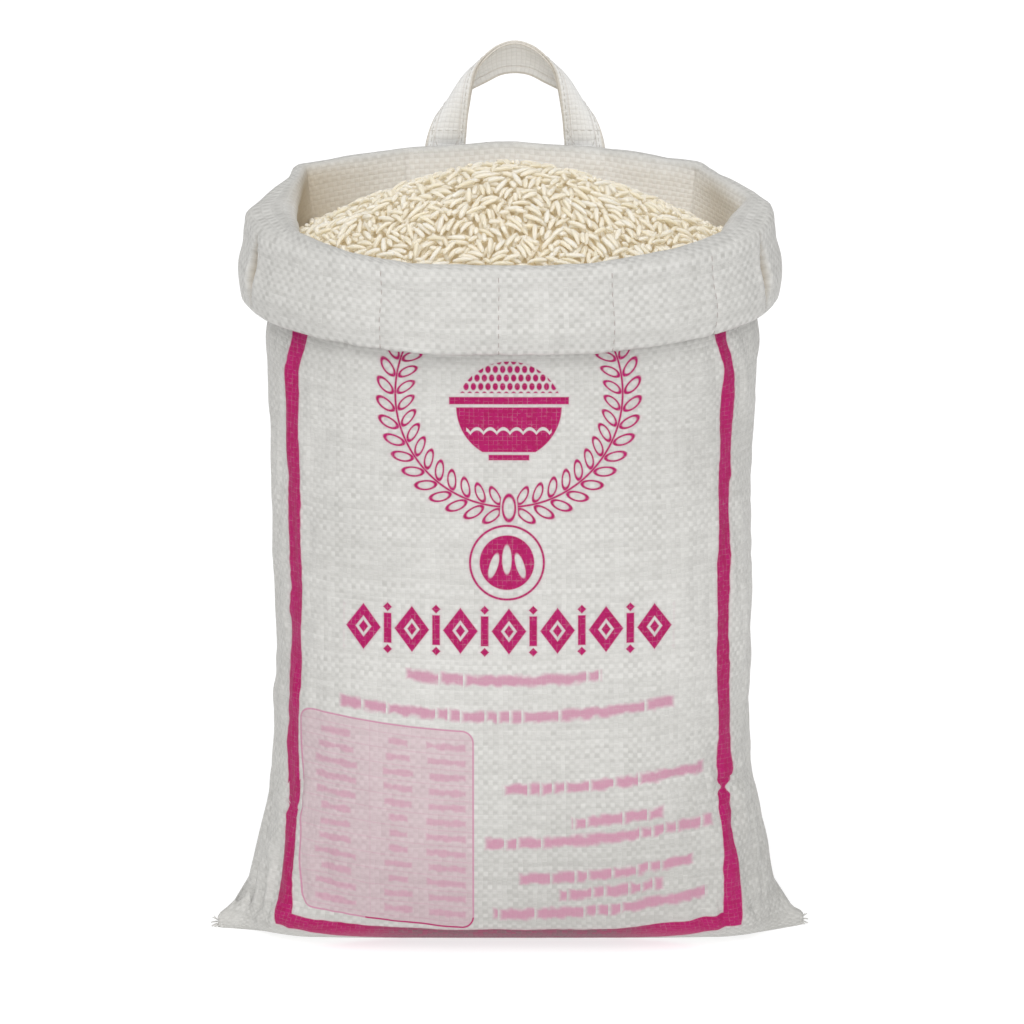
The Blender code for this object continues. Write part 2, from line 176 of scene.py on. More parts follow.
def mouth_edge():
    """The plan of the edge that the cloth turns over, creased with straight runs, and its lift by column."""
    columns = np.arange(COLUMNS) * PLAN_COLUMNS / COLUMNS
    edge = np.stack([np.interp(columns, MOUTH_EDGE[:, 0], MOUTH_EDGE[:, k]) for k in (1, 2, 3)], axis=1)
    shifts = range(-EDGE_SOFTENING, EDGE_SOFTENING + 1)
    edge = sum(np.roll(edge, shift, axis=0) for shift in shifts) / len(shifts)
    return edge[:, :2], edge[:, 2]


def seam_row(row):
    """The bottom seam, halfway between the front and the back of the lowest row."""
    other = np.roll(row[::-1], 1, axis=0)
    return (row + other) / 2


def along_rows(rows):
    """How far up the cloth each row lies, as a mean over its columns."""
    steps = np.linalg.norm(np.diff(rows, axis=0), axis=2).mean(axis=1)
    return np.concatenate(([0.0], np.cumsum(steps)))


def outward(rows):
    """The cloth's normals, from its neighbours in the grid."""
    across = np.roll(rows, -1, axis=1) - np.roll(rows, 1, axis=1)
    up = np.gradient(rows, axis=0)
    normals = np.cross(across, up)
    return normals / np.maximum(np.linalg.norm(normals, axis=2, keepdims=True), 1e-9)


def soft_noise(seed, cells_round, cell_height, up):
    """Smooth noise from -1 to 1 over the grid, which meets itself once round the sack."""
    chance = np.random.default_rng(seed)
    steps_up = int(up[-1] / cell_height) + 4
    table = chance.uniform(-1.0, 1.0, (steps_up, cells_round))
    table = np.concatenate((table[:, -1:], table, table[:, :2]), axis=1)
    places = np.arange(-1, cells_round + 2)
    columns = np.arange(COLUMNS) * cells_round / COLUMNS
    table = smooth_rows(table.T, places, columns).T
    return smooth_rows(table, np.arange(steps_up) - 1.0, up / cell_height)


def crumpled(layers, up):
    """Layers of soft noise added up, each with its size, seed, cells round the sack and height of a cell."""
    return sum(size * soft_noise(seed, cells, height, up) for size, seed, cells, height in layers)


def fold(x, h, start, end, width, height):
    """A fold of the cloth along a line on the front, gone at its ends and its sides."""
    run = np.subtract(end, start)
    share = np.clip(((x - start[0]) * run[0] + (h - start[1]) * run[1]) / (run @ run), 0.0, 1.0)
    away = np.hypot(x - start[0] - share * run[0], h - start[1] - share * run[1])
    return height * np.exp(-((away / width) ** 2)) * np.sqrt(np.sin(math.pi * share))


# Folds on the front: start, end, half width and height. Shifts of the sides: height as seen and amount
VIEW_UP = (math.sin(math.radians(13.0)), math.cos(math.radians(13.0)))
FRONT_FOLDS = (
    ((-118, 12), (-84, 66), 5.0, 1.9),
    ((-121, 22), (-99, 92), 3.5, -1.7),
    ((-108, 8), (-94, 40), 3.0, -1.1),
    ((-128, 10), (-121, -2), 2.0, -0.9),
    ((-121, 150), (-106, 160), 2.6, 1.0),
    ((-121, 172), (-104, 166), 2.2, -0.9),
    ((-121, 186), (-107, 179), 2.4, 0.9),
    ((-119, 100), (-103, 116), 3.0, 0.9),
    ((121, 120), (106, 132), 2.6, 0.9),
    ((122, 168), (105, 176), 2.4, -0.9),
    ((122, 232), (106, 222), 2.6, 0.8),
    ((-92, 6), (-58, 30), 4.5, 0.9),
    ((-60, 3), (-36, 18), 4.0, 0.6),
    ((118, 12), (90, 62), 5.0, 1.9),
    ((121, 24), (101, 92), 3.5, -1.8),
    ((127, 44), (112, 84), 2.6, 1.2),
    ((106, 8), (92, 36), 3.0, -1.1),
    ((131, 14), (117, 4), 1.8, -1.4),
    ((126, 18), (115, 10), 1.8, 1.0),
    ((128, 2), (116, 12), 1.6, -1.0),
    ((101, 65), (123, 79), 1.7, -2.0),
    ((100, 71), (122, 86), 3.0, 0.9),
    ((110, 50), (124, 66), 1.8, -1.3),
    ((101, 48), (119, 62), 2.6, 0.8),
    ((-122, 70), (-103, 56), 1.8, -1.3),
    ((-121, 60), (-104, 50), 2.6, 0.8),
    ((90, 5), (60, 24), 4.0, 0.8),
    ((-114, 120), (-104, 190), 4.0, -0.7),
    ((112, 140), (103, 205), 4.0, 0.8),
    ((-113, 205), (-96, 288), 5.0, 0.8),
    ((114, 210), (99, 290), 5.0, -0.7),
    ((-40, 296), (-36, 250), 4.0, 0.5),
    ((50, 296), (47, 244), 4.0, 0.5),
)
LEFT_SHIFTS = ((0, 1.0), (6, 2.5), (16, 4.0), (26, 3.0), (46, 2.5), (66, 2.5), (96, 1.0), (116, 0.5),
               (136, 2.0), (186, 1.0), (236, 1.5), (286, 1.5))
RIGHT_SHIFTS = ((0, 0.0), (6, -0.5), (16, -1.0), (26, -0.5), (38, 0.6), (56, 0.6), (66, 0.3),
                (76, -1.4), (86, -0.2), (111, 1.0), (136, 2.0), (166, 2.5), (186, 1.5), (236, 0.6),
                (261, 1.2), (286, 0.5))


def front_height(rows):
    return VIEW_UP[1] * rows[..., 2] + VIEW_UP[0] * rows[..., 1]


def set_to_outline(rows):
    """Moves the two sides a little, to the outline seen from the front."""
    rows = rows.copy()
    for sign, shifts in ((-1.0, LEFT_SHIFTS), (1.0, RIGHT_SHIFTS)):
        heights, amounts = zip(*shifts)
        shift = np.interp(front_height(rows), heights, amounts)
        rows[..., 0] += shift * smooth_step(sign * rows[..., 0], *OUTLINE_REGION)
    return rows


edge_plan, edge_lift = mouth_edge()
neck_oval = ring(NECK_HALF_WIDTH, NECK_HALF_DEPTH, NECK_SQUARENESS)
neck_rows = [
    raised(neck_oval + share * (edge_plan - neck_oval), MOUTH_HEIGHT - drop, share * edge_lift)
    for drop, share in NECK_SECTIONS
]
body_rows = [body_row(float(height)) for height in BODY_HEIGHTS]
body_rows = np.array([seam_row(body_rows[0])] + body_rows + neck_rows[:2])
places = along_rows(body_rows)
up_cloth = np.linspace(0.0, places[-1], int(places[-1] / BODY_SPACING))
body = smooth_rows(body_rows, places, up_cloth)
sideways = np.abs(body[..., 0])
near_ear = smooth_step(sideways, *EAR_REGION) * (1.0 - smooth_step(body[..., 2], *EAR_REGION_TOP))
near_ear = (near_ear * smooth_step(EAR_END - sideways, 0.0, EAR_TIP_KEPT))[..., None]
for _ in range(EAR_SMOOTHING):
    around = np.roll(body, 2, axis=1) + np.roll(body, -2, axis=1)
    around[1:-1] += body[:-2] + body[2:]
    around[1:-1] /= 4.0
    around[0], around[-1] = body[0], body[-1]
    body = body + 0.5 * near_ear * (around - body)
normals = outward(body)
side_share = smooth_step(np.abs(body[..., 0]), *SIDE_REGION)
low_share = 1.0 - smooth_step(body[..., 2], *LOW_REGION)
wrinkles = crumpled(WRINKLES, up_cloth) + side_share * crumpled(SIDE_WRINKLES, up_cloth)
wrinkles *= WRINKLES_ALL_OVER + side_share + WRINKLES_LOW * low_share
is_front = smooth_step(-normals[..., 1], 0.0, 0.25)
for start, end, width, height in FRONT_FOLDS:
    wrinkles += is_front * fold(body[..., 0], front_height(body), start, end, width, height)
wrinkles *= smooth_step(body[..., 2], 1.0, 14.0) * smooth_step(up_cloth[-1] - up_cloth, 0.0, 20.0)[:, None]
unwrinkled = set_to_outline(body)
body = set_to_outline(body + wrinkles[..., None] * normals)
body[..., 2] = np.maximum(body[..., 2], 0.0)
body[0] = seam_row(body[0])


def placed(name, data):
    """An object in the scene for a mesh, a light or a camera."""
    made = bpy.data.objects.new(name, data)
    bpy.context.scene.collection.objects.link(made)
    return made


def cloth_mesh(name, rows, up, closed, seam_rows=(), printed_rows=None):
    """A grid of cloth as a mesh in metres, with its own measures and its front view as UV maps."""
    count = len(rows)
    index = np.arange(count * COLUMNS).reshape(count, COLUMNS)
    for row in seam_rows:
        index[row, COLUMNS // 2 + 1:] = index[row, COLUMNS // 2 - 1:0:-1]
    lower = np.arange(count if closed else count - 1)
    upper = (lower + 1) % count
    column = np.arange(COLUMNS)
    after = (column + 1) % COLUMNS
    quads = np.stack((
        index[lower][:, column], index[lower][:, after], index[upper][:, after], index[upper][:, column],
    ), axis=2).reshape(-1, 4)
    used, packed = np.unique(quads, return_inverse=True)
    mesh = bpy.data.meshes.new(name)
    mesh.from_pydata((rows.reshape(-1, 3)[used] * MM).tolist(), [], packed.reshape(-1, 4).tolist())
    round_share = np.stack((column, column + 1, column + 1, column), axis=1) / COLUMNS
    u = np.broadcast_to(round_share * TAPES_ROUND * TAPE_ACROSS * MM, (len(lower), COLUMNS, 4))
    v = np.stack((up[lower], up[lower], up[upper], up[upper]), axis=1)[:, None, :] * MM
    v = np.broadcast_to(v, (len(lower), COLUMNS, 4))
    cloth = mesh.uv_layers.new(name="cloth")
    cloth.data.foreach_set("uv", np.stack((u, v), axis=3).ravel().astype(np.float32))
    corner = (rows if printed_rows is None else printed_rows).reshape(-1, 3)[quads]
    away = np.tile(np.where(column < COLUMNS // 2, 0.0, BACK_AWAY), len(lower))[:, None]
    view = np.stack((corner[..., 0] * MM + away, front_height(corner) * MM), axis=2)
    front = mesh.uv_layers.new(name="front")
    front.data.foreach_set("uv", view.ravel().astype(np.float32))
    mesh.shade_smooth()
    return placed(name, mesh)


lining_rows = np.linspace(len(body) - 1, 0, LINING_ROWS).astype(int)
lining = body[lining_rows] - LINING * outward(body)[lining_rows]
lining[..., 2] = np.maximum(lining[..., 2], 0.5)
lining[-1] = seam_row(lining[-1])
sack_body = cloth_mesh(
    "sack_body",
    np.concatenate((body, lining)),
    np.concatenate((up_cloth, up_cloth[lining_rows])),
    closed=False,
    seam_rows=(0, len(body) + LINING_ROWS - 1),
    printed_rows=np.concatenate((unwrinkled, unwrinkled[lining_rows])),
)

# Cloth of the sack and its print: flat tapes about 2.4 mm wide in a plain weave, white with a faint sheen.
# The front is printed in one magenta ink, which breaks up on the weave, and in a pale pink for its uneven
# ribbons and its table. The print's shapes are set out in millimetres as seen from the front.

TAPE_UP = 2.55
CLOTH_COLOUR = (0.65, 0.642, 0.617)
CLOTH_SHADE = (0.46, 0.453, 0.43)
# Inside the mouth: a lighter warm colour, painted light on and through the inner wall, and its shaded tone
INSIDE_PAINTED_LIGHT = (0.87, 0.87, 0.85)
INSIDE_SHADE = (0.64, 0.59, 0.54)
# Painted shade for the tucks' slits, the back corners inside the mouth and the strap's folded edges
RECESS_SHADE_COLOUR = (0.44, 0.36, 0.24)
MAGENTA = (0.35, 0.001, 0.084)
MAGENTA_WORN = (0.43, 0.007, 0.138)
# Painted shade for the middle of the bottom band
BAND_SHADE_COLOUR = (0.19, 0.075, 0.10)
PALE_PINK = (0.52, 0.24, 0.34)
# The strap's cloth is painted lighter than the body's same cloth, for the light on its face
STRAP_PAINTED_LIGHT = (0.87, 0.865, 0.85)
SHEEN = 0.22
WREATH_RADIUS = 56.0
WREATH_GRAIN_TURN = 0.150
LOZENGE_PITCH = 24.0
RIBBON_PITCH = 9.0
RIBBON_HALF_HEIGHT = 3.1
RIBBON_PIECE = 6.1
RIBBONS = (
    (-51, 45, 121.5), (-84, 81, 103.5), (-3, 96, 67.5), (31, 76, 49.5),
    (-12, 100, 40.5), (5, 91, 22.5), (25, 76, 13.5), (-8, 98, 4.5),
)
TABLE_MIDDLE = (-61.0, 46.5)
TABLE_HALF_SIZE = (43.0, 49.5)
TABLE_CORNER = 6.0
TABLE_ROW = 7.6


class Wire:
    """A socket in a tree of nodes. Sums, products and comparisons of wires add Math nodes."""

    def __init__(self, tree, socket=None):
        self.tree = tree
        self.socket = socket

    def node(self, kind, inputs=(), output=0, **settings):
        """Adds a node: its settings come first, then the values or wires that its sockets take."""
        made = self.tree.nodes.new(kind)
        for name, value in settings.items():
            if name == "stops":
                while len(made.color_ramp.elements) < len(value):
                    made.color_ramp.elements.new(0.5)
                for element, (place, colour) in zip(made.color_ramp.elements, value):
                    element.position = place
                    element.color = (*colour, 1.0)
            else:
                setattr(made, name, value)
        for key, value in dict(inputs).items():
            if isinstance(value, Wire):
                self.tree.links.new(value.socket, made.inputs[key])
            else:
                made.inputs[key].default_value = value
        return Wire(self.tree, made.outputs[output] if made.outputs else None)

    def other(self, output):
        return Wire(self.tree, self.socket.node.outputs[output])

    def maths(self, operation, *values):
        return self.node("ShaderNodeMath", dict(enumerate(values)), operation=operation)

    def __add__(self, value):
        return self.maths("ADD", self, value)

    __radd__ = __add__

    def __sub__(self, value):
        return self.maths("SUBTRACT", self, value)

    def __rsub__(self, value):
        return self.maths("SUBTRACT", value, self)

    def __mul__(self, value):
        return self.maths("MULTIPLY", self, value)

    __rmul__ = __mul__

    def __truediv__(self, value):
        return self.maths("DIVIDE", self, value)

    def __pow__(self, value):
        return self.maths("POWER", self, value)

    def __mod__(self, value):
        return self.maths("FLOORED_MODULO", self, value)

    def __gt__(self, value):
        return self.maths("GREATER_THAN", self, value)

    def __abs__(self):
        return self.maths("ABSOLUTE", self)

    def __floor__(self):
        return self.maths("FLOOR", self)


def new_material(name):
    """A material with its Principled shader's constants at rest, and a wire to build its nodes from."""
    material = bpy.data.materials.new(name)
    material.use_nodes = True
    shader = material.node_tree.nodes["Principled BSDF"]
    return material, shader, Wire(material.node_tree)


def blended(share, first, second):
    """A mix of two colours, each a tuple or a wire."""
    colours = [colour if isinstance(colour, Wire) else (*colour, 1.0) for colour in (first, second)]
    mixed = {0: share, 6: colours[0], 7: colours[1]}
    return share.node("ShaderNodeMix", mixed, output=2, data_type="RGBA", clamp_factor=True)


def ramp(value, start, end):
    """0 before the start and 1 after the end, smooth between them."""
    return value.node(
        "ShaderNodeMapRange", {0: value, 1: start, 2: end, 3: 0.0, 4: 1.0}, interpolation_type="SMOOTHSTEP",
    )


def noise(wire, vector, scale, detail=2.0, roughness=0.5):
    return wire.node(
        "ShaderNodeTexNoise", {"Vector": vector, "Scale": scale, "Detail": detail, "Roughness": roughness},
    )


def link_in(shader, wire, socket):
    wire.tree.links.new(wire.socket, shader.inputs[socket])


def cell_chance(wire, across, up):
    """A chance from 0 to 1 that stays the same over one cell."""
    cell = wire.node("ShaderNodeCombineXYZ", {0: across, 1: up})
    return wire.node("ShaderNodeTexWhiteNoise", {"Vector": cell}, noise_dimensions="2D")


def woven(wire, u, v):
    """The relief of the plain weave, the tone of each tape where it shows, how near its edge is, and a spot
    in the middle of each warp tape that goes over, for the painted sheen that tells warp from weft.
    """
    across = u / (TAPE_ACROSS * MM)
    up = v / (TAPE_UP * MM)
    tape_across = math.floor(across)
    tape_up = math.floor(up)
    warp_over = (tape_across + tape_up) % 2.0
    side = abs((across - tape_across) * 2.0 - 1.0)
    end = abs((up - tape_up) * 2.0 - 1.0)
    warp = 1.0 - 0.45 * side ** 4.0 - 0.75 * end ** 2.0
    weft = 1.0 - 0.45 * end ** 4.0 - 0.75 * side ** 2.0
    relief = weft + warp_over * (warp - weft)
    chance = cell_chance(wire, tape_across, tape_up)
    own_tone = cell_chance(wire, tape_up, 0.5)
    own_tone = own_tone + warp_over * (cell_chance(wire, tape_across, 0.5) - own_tone)
    edge = side.maths("MAXIMUM", side, end)
    warp_sheen_spot = warp_over * (1.0 - ramp(side, 0.45, 1.0)) * (1.0 - ramp(end, 0.3, 0.9))
    return relief, chance, edge, own_tone, warp_sheen_spot


def cloth_material(name, printed, inside_up=None, folded_width=None, spots=0.46):
    """Woven cloth, with the print on it or plain. Inside the mouth, up to a row of the cloth, it is painted a
    lighter warm colour for the light on and through the inner wall, with painted shade in the tucks and back
    corners.
    """
    material, shader, wire = new_material(name)
    own = wire.node("ShaderNodeUVMap", uv_map="cloth")
    measures = wire.node("ShaderNodeSeparateXYZ", {0: own})
    u, v = measures, measures.other(1)
    place = wire.node("ShaderNodeTexCoord", output=3)
    wander = noise(wire, place, 55.0, 1.0) - 0.5
    other_wander = noise(wire, place, 43.0, 1.0) - 0.5
    relief, chance, edge, own_tone, warp_sheen_spot = woven(wire, u + 0.0022 * wander, v + 0.0022 * other_wander)
    broad = noise(wire, place, 9.0, 3.0)
    fine = noise(wire, place, 420.0, 2.0)
    stretched = wire.node("ShaderNodeMapping", {"Vector": own, "Scale": (60.0, 420.0, 1.0)})
    streaks = noise(wire, stretched, 1.0, 2.0)
    gap = ramp(edge, 0.62, 1.0)
    # Painted shade: the cloth is made greyer towards the floor, where less light falls
    low = 1.0 - ramp(wire.node("ShaderNodeSeparateXYZ", {0: place}).other(2), 0.01, 0.16)
    # Tone: random per cell and per tape, painted sheen on the warp tapes that go over, painted shade in the
    # gaps between tapes, and broad and streaky noise
    tone = 0.22 * chance + 0.28 * own_tone + spots * warp_sheen_spot + 0.2 * gap + 0.9 * (broad - 0.5)
    tone = tone + 0.8 * (streaks - 0.5) + 0.3 * low
    colour = blended(tone, CLOTH_COLOUR, CLOTH_SHADE)
    if inside_up is not None:
        # Painted light inside the mouth: a lighter warm colour for the light on and through the inner wall
        inside = 1.0 - ramp(v, (inside_up - 7.0) * MM, (inside_up + 3.0) * MM)
        inside_tone = 0.3 * gap + 0.3 * streaks + 0.3 * warp_sheen_spot
        colour = blended(inside * 0.9, colour, blended(inside_tone, INSIDE_PAINTED_LIGHT, INSIDE_SHADE))
        # Painted shade where the cuff's attribute is set: in the tucks' slits and the back corners of the
        # inner wall
        recess_shade_share = wire.node("ShaderNodeAttribute", output=2, attribute_name="tuck")
        colour = blended(recess_shade_share * 0.9, colour, RECESS_SHADE_COLOUR)
    line = 0.0
    if folded_width is not None:
        from_middle = abs(u / MM - folded_width / 2)
        # Painted shade along the strap's folded edges, and along a fold line near each edge, which is also a
        # groove in the bump
        fold_edge_shade = ramp(from_middle, folded_width / 2 - 1.1, folded_width / 2 - 0.2)
        line = 1.0 - ramp(abs(from_middle - folded_width / 2 + 3.6), 0.0, 0.7)
        # The strap is painted lighter than the body's same cloth for the light on its face, with painted
        # shade in the gaps between tapes
        colour = blended(0.8 - 0.2 * gap, colour, STRAP_PAINTED_LIGHT)
        colour = blended(fold_edge_shade * 0.4, colour, RECESS_SHADE_COLOUR)
        colour = blended(line * 0.4, colour, INSIDE_SHADE)
    if printed:
        strong, pale, band_shade = print_masks(wire)
        mesh_gap = ramp(edge, 0.74, 1.0) * ramp(fine, 0.36, 0.60)
        broken = 1.0 - 0.20 * mesh_gap * (0.35 + 0.65 * chance) - 0.08 * ramp(fine, 0.62, 0.75)
        ink_tone = blended(0.5 * chance + 0.9 * (broad - 0.35), MAGENTA, MAGENTA_WORN)
        # Painted shade darkens the ink in the middle of the bottom band
        ink_tone = blended(band_shade * (0.55 + 0.6 * chance), ink_tone, BAND_SHADE_COLOUR)
        colour = blended(pale * broken, colour, PALE_PINK)
        colour = blended(strong * broken, colour, ink_tone)
    link_in(shader, colour, "Base Color")
    link_in(shader, 0.44 + 0.18 * fine + 0.12 * gap, "Roughness")
    shader.inputs["Specular IOR Level"].default_value = SHEEN
    height = relief + 0.5 * fine - 1.5 * line
    bump = wire.node("ShaderNodeBump", {"Strength": 0.55, "Distance": 0.00032, "Height": height})
    link_in(shader, bump, "Normal")
    return material


def print_masks(wire):
    """Where the strong ink and the pale ink lie on the front, and where the bottom band takes painted shade
    in its middle.
    """
    seen = wire.node("ShaderNodeUVMap", uv_map="front")
    parts = wire.node("ShaderNodeSeparateXYZ", {0: seen})
    x, h = parts / MM, parts.other(1) / MM

    def chain(operation, values):
        found = values[0]
        for value in values[1:]:
            found = found.maths(operation, found, value)
        return found

    def least(*values):
        return chain("MINIMUM", values)

    def most(*values):
        return chain("MAXIMUM", values)

    def filled(distance, blur=0.35):
        return 1.0 - ramp(distance, -blur, blur)

    def bar(left, right, low, high, up=h):
        half_wide, half_high = (right - left) / 2, (high - low) / 2
        return most(abs(x - left - half_wide) - half_wide, abs(up - low - half_high) - half_high)

    def reach(middle_x, middle_h):
        return ((x - middle_x) ** 2.0 + (h - middle_h) ** 2.0) ** 0.5

    def oval(across, half_wide, up, half_high):
        """How far a place lies outside an oval, as a share of the oval's size."""
        return ((across / half_wide) ** 2.0 + (up / half_high) ** 2.0) ** 0.5 - 1.0

    def lozenge(across, half_wide, up, half_high):
        return abs(across) / half_wide + abs(up) / half_high - 1.0

    def from_cell(value, pitch, shift=0.0):
        """How far a value lies from the middle of its cell, where cells of one pitch repeat."""
        return ((value / pitch + shift) % 1.0 - 0.5) * pitch

    # A frame of two stripes, each pinched at a crease, and a band along the bottom
    wobble = 0.9 * (noise(wire, seen, 160.0, 1.0) - 0.5)
    left_pinch = 1.0 - ramp(abs(h - 58.0), 0.0, 4.0)
    right_pinch = 1.0 - ramp(abs(h - 68.0), 0.0, 4.0)
    gathered = ramp(h, 272.0, 297.0)
    near_floor = 1.0 - ramp(h, 0.0, 55.0)
    left_bow = 0.00017 * (h - 185.0) ** 2.0
    right_bow = 0.00022 * (h - 150.0) ** 2.0
    left = abs(x + 106.7 + left_bow - 5.5 * gathered + wobble) - 3.1 + 0.9 * left_pinch - 0.9 * gathered
    right = abs(x - 105.6 - near_floor - right_bow + 6.5 * gathered + wobble) - 3.1 + 2.1 * right_pinch
    widening = 1.3 * (1.0 - ramp(h, -5.0, 75.0)) - 0.2
    below = h + 6.2 - 0.0001 * x ** 2.0 - 0.000000043 * x ** 4.0 + wobble * 0.5
    band = most(abs(below - 0.3) - 2.5 - 1.3 * ramp(abs(x), 30.0, 95.0), abs(x + 0.65) - 115.9)
    frame_lines = least(most(least(left, right) - widening, 0.0 - below - 1.0), band)

    # A wreath of two ears of rice, mirrored about the middle, with its grains in outline
    beside, up = abs(x + 0.5), h - 263.5
    radius = (beside ** 2.0 + up ** 2.0) ** 0.5
    turn = beside.maths("ARCTAN2", beside, 0.0 - up)
    within = from_cell(turn - 0.06, WREATH_GRAIN_TURN) * WREATH_RADIUS

    def grain_row(middle, lean, half_long, half_wide):
        off = radius - middle
        return oval(within + lean * off, half_wide, off, half_long) * half_wide

    outer_row = grain_row(WREATH_RADIUS + 5.0, -0.62, 4.6, 3.0)
    inner_row = grain_row(WREATH_RADIUS - 5.0, 0.62, 4.6, 3.0)
    grains = least(outer_row, inner_row)
    stem = abs(radius - WREATH_RADIUS) - 0.5
    ends = most((0.075 - turn) * WREATH_RADIUS, (turn - 2.5) * WREATH_RADIUS)
    bud = oval(x + 0.5, 3.6, h - 207.0, 7.2) * 3.6
    wreath = least(most(least(abs(grains + 0.5) - 0.5, stem), ends), abs(bud + 0.5) - 0.5)

    # A bowl with a mound of rice inside the wreath
    bowl = most(reach(-0.5, 257.0) - 26.0, h - 256.5, 234.5 - h)
    foot = bar(-10.5, 9.5, 230.5, 233.2)
    rim = bar(-30.0, 29.0, 258.0, 261.6)
    dip = 9.0 * (from_cell(x, 6.5) / 6.5) ** 2.0
    waves = most(abs(h - 246.0 + dip) - 0.8, abs(x + 0.5) - 21.0)
    mound = most(reach(-0.5, 252.0) - 27.0, 263.5 - h)
    spots = oval(from_cell(x, 3.6, math.floor(h / 4.2) * 0.5), 1.35, from_cell(h, 4.2), 1.8) * 1.3
    bowl_mark = least(most(bowl, 0.0 - waves), foot, rim, most(mound, spots))

    # A round seal with three pale grains
    seal = reach(-1.5, 180.0)
    outwards = abs(x + 1.5) - 6.4 + 0.28 * (h - 179.0)
    middle_grain = oval(x + 1.5, 2.3, h - 181.5, 7.2) * 2.3
    side_grains = oval(outwards, 2.1, h - 178.5, 6.0) * 2.1
    seal_mark = least(most(seal - 13.5, 0.0 - middle_grain, 0.0 - side_grains), abs(seal - 18.2) - 0.55)

    # A row of lozenges and bars, which curves up a little at its ends
    row_h = h - 146.0 - 0.0005 * x ** 2.0
    along = from_cell(x + 0.5, LOZENGE_PITCH, 0.5)
    between = LOZENGE_PITCH / 2 - abs(along)
    edge = lozenge(along, 8.6, row_h, 11.4)
    hollowed = most(edge * 6.9, (-0.54 - edge) * 6.9)
    core_spot = lozenge(along, 2.3, row_h, 3.1) * 1.9
    uprights = most(between - 1.9, abs(row_h) - 7.4)
    small = lozenge(between, 2.2, abs(row_h) - 10.4, 2.2) * 1.6
    row = most(least(hollowed, core_spot, uprights, small), abs(x + 0.5) - 81.2)

    # Pale uneven ribbons and a table, on lines that curve up towards the sides
    line_h = h - 0.0012 * x ** 2.0
    lines = least(*(
        bar(left_end, right_end, middle - RIBBON_HALF_HEIGHT, middle + RIBBON_HALF_HEIGHT, line_h)
        for left_end, right_end, middle in RIBBONS
    ))
    line_number = math.floor(line_h / RIBBON_PITCH)
    piece_cell = x / RIBBON_PIECE + 0.37 * line_number
    piece = math.floor(piece_cell)
    joined = cell_chance(wire, piece, line_number) > 0.45
    piece_gap = (0.24 - (piece_cell - piece)) * RIBBON_PIECE - 4.0 * joined
    sway = 3.0 * (noise(wire, seen, 120.0, 1.0) - 0.5)
    weight = 4.0 * noise(wire, seen, 200.0, 2.0) + 0.5
    from_line = line_h - line_number * RIBBON_PITCH - RIBBON_PITCH / 2
    ribbons = most(lines, piece_gap, abs(from_line - sway) - weight)
    out_x = abs(x - TABLE_MIDDLE[0]) - TABLE_HALF_SIZE[0] + TABLE_CORNER
    out_h = abs(line_h - TABLE_MIDDLE[1]) - TABLE_HALF_SIZE[1] + TABLE_CORNER
    table = (most(out_x, 0.0) ** 2.0 + most(out_h, 0.0) ** 2.0) ** 0.5 - TABLE_CORNER
    row_place = abs(from_cell(line_h, TABLE_ROW))
    entry = cell_chance(wire, math.floor(line_h / TABLE_ROW), 3.0)
    entries = least(
        abs(x + 86.5) - 13.5 + 7.0 * entry,
        abs(x + 55.5) - 4.0 - 6.0 * (1.0 - entry),
        abs(x + 31.0) - 8.5 - 3.0 * entry,
    )
    entries = most(entries, abs(row_place - 0.5 * sway) - 0.8 * weight, table + 3.5)
    rules = most(least(TABLE_ROW / 2 - 0.5 - row_place, abs(x + 69.5) - 0.4), table)
    pale = most(
        filled(ribbons, 1.4) * 0.9, filled(table) * 0.36, filled(entries, 1.4) * 0.72,
        filled(rules) * 0.5, filled(abs(table + 0.3) - 0.45),
    )
    dark_edge = most(abs(table + 0.3) - 0.35, line_h - 2.5, -72.0 - x)
    marks = least(frame_lines, wreath, bowl_mark, seal_mark, row)
    strong = filled(least(marks, dark_edge), 0.3)
    halo = filled(marks - 0.8, 0.7) * 0.16
    # Painted shade: the middle of the bottom band, where the cloth curves under towards the floor
    band_shade = filled(band) * (1.0 - ramp(abs(x), 40.0, 85.0))
    return strong, most(pale, halo), band_shade


sack_body.data.materials.append(cloth_material("printed_cloth", printed=True, spots=0.34))
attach(sack_body, "root")
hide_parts("sack")

# Cuff: the top of the same cloth, turned over the mouth's edge and down outside, with its hem turned in.
# The tube was folded flat, so the cuff has a tuck at each end and stiff creases with flat runs between them.
# It starts low on the inner wall, behind the rice.

CLOTH_SIDE = 1.6
# Drop below the mouth and share of the way to the shoulder, then drop, half width and half depth
TURN_SECTIONS = ((1.9, 0.15), (1.7, 0.5), (2.6, 0.9))
CUFF_SECTIONS = (
    (8.5, 130.2, 88.8),
    (17.5, 131.2, 90.0),
    (28.0, 133.6, 91.0),
    (37.0, 133.3, 90.4),
    (42.3, 132.2, 87.6),
    (38.8, 130.9, 86.4),
)
CUFF_SQUARENESS = 2.08
SHOULDER_LIFT = 0.5
ROLL_WIDTH = 4.5
BACK_CREASES = ((33, 39), (39, 44), (44, 48), (48, 53), (53, 58), (58, 64))
BACK_FLATNESS = 0.75
CUFF_SPACING = 1.3
CUFF_LINING = 0.8
CUFF_LINING_ROWS = 30
CRUMPLES = ((0.35, 21, 44, 26.0), (0.22, 22, 110, 14.0))
PLAN_COLUMN_WIDTH = 10.8
CUFF_TUCKS = ((2.65, 4.2, 7.0), (29.1, 3.8, 6.5))
TUCK_LIP = 0.7
TUCK_LIP_WIDTH = 1.6
THREAD_LINES = ((-62.5, 0.5), (-5.0, 0.7), (50.0, 0.5), (98.5, 0.6))
THREAD_GROOVE_WIDTH = 1.3
INSIDE_CREASES = ((53, 1.0), (44, 0.9), (41.5, 0.7), (58, 1.2), (39, 1.2), (48, 0.5))
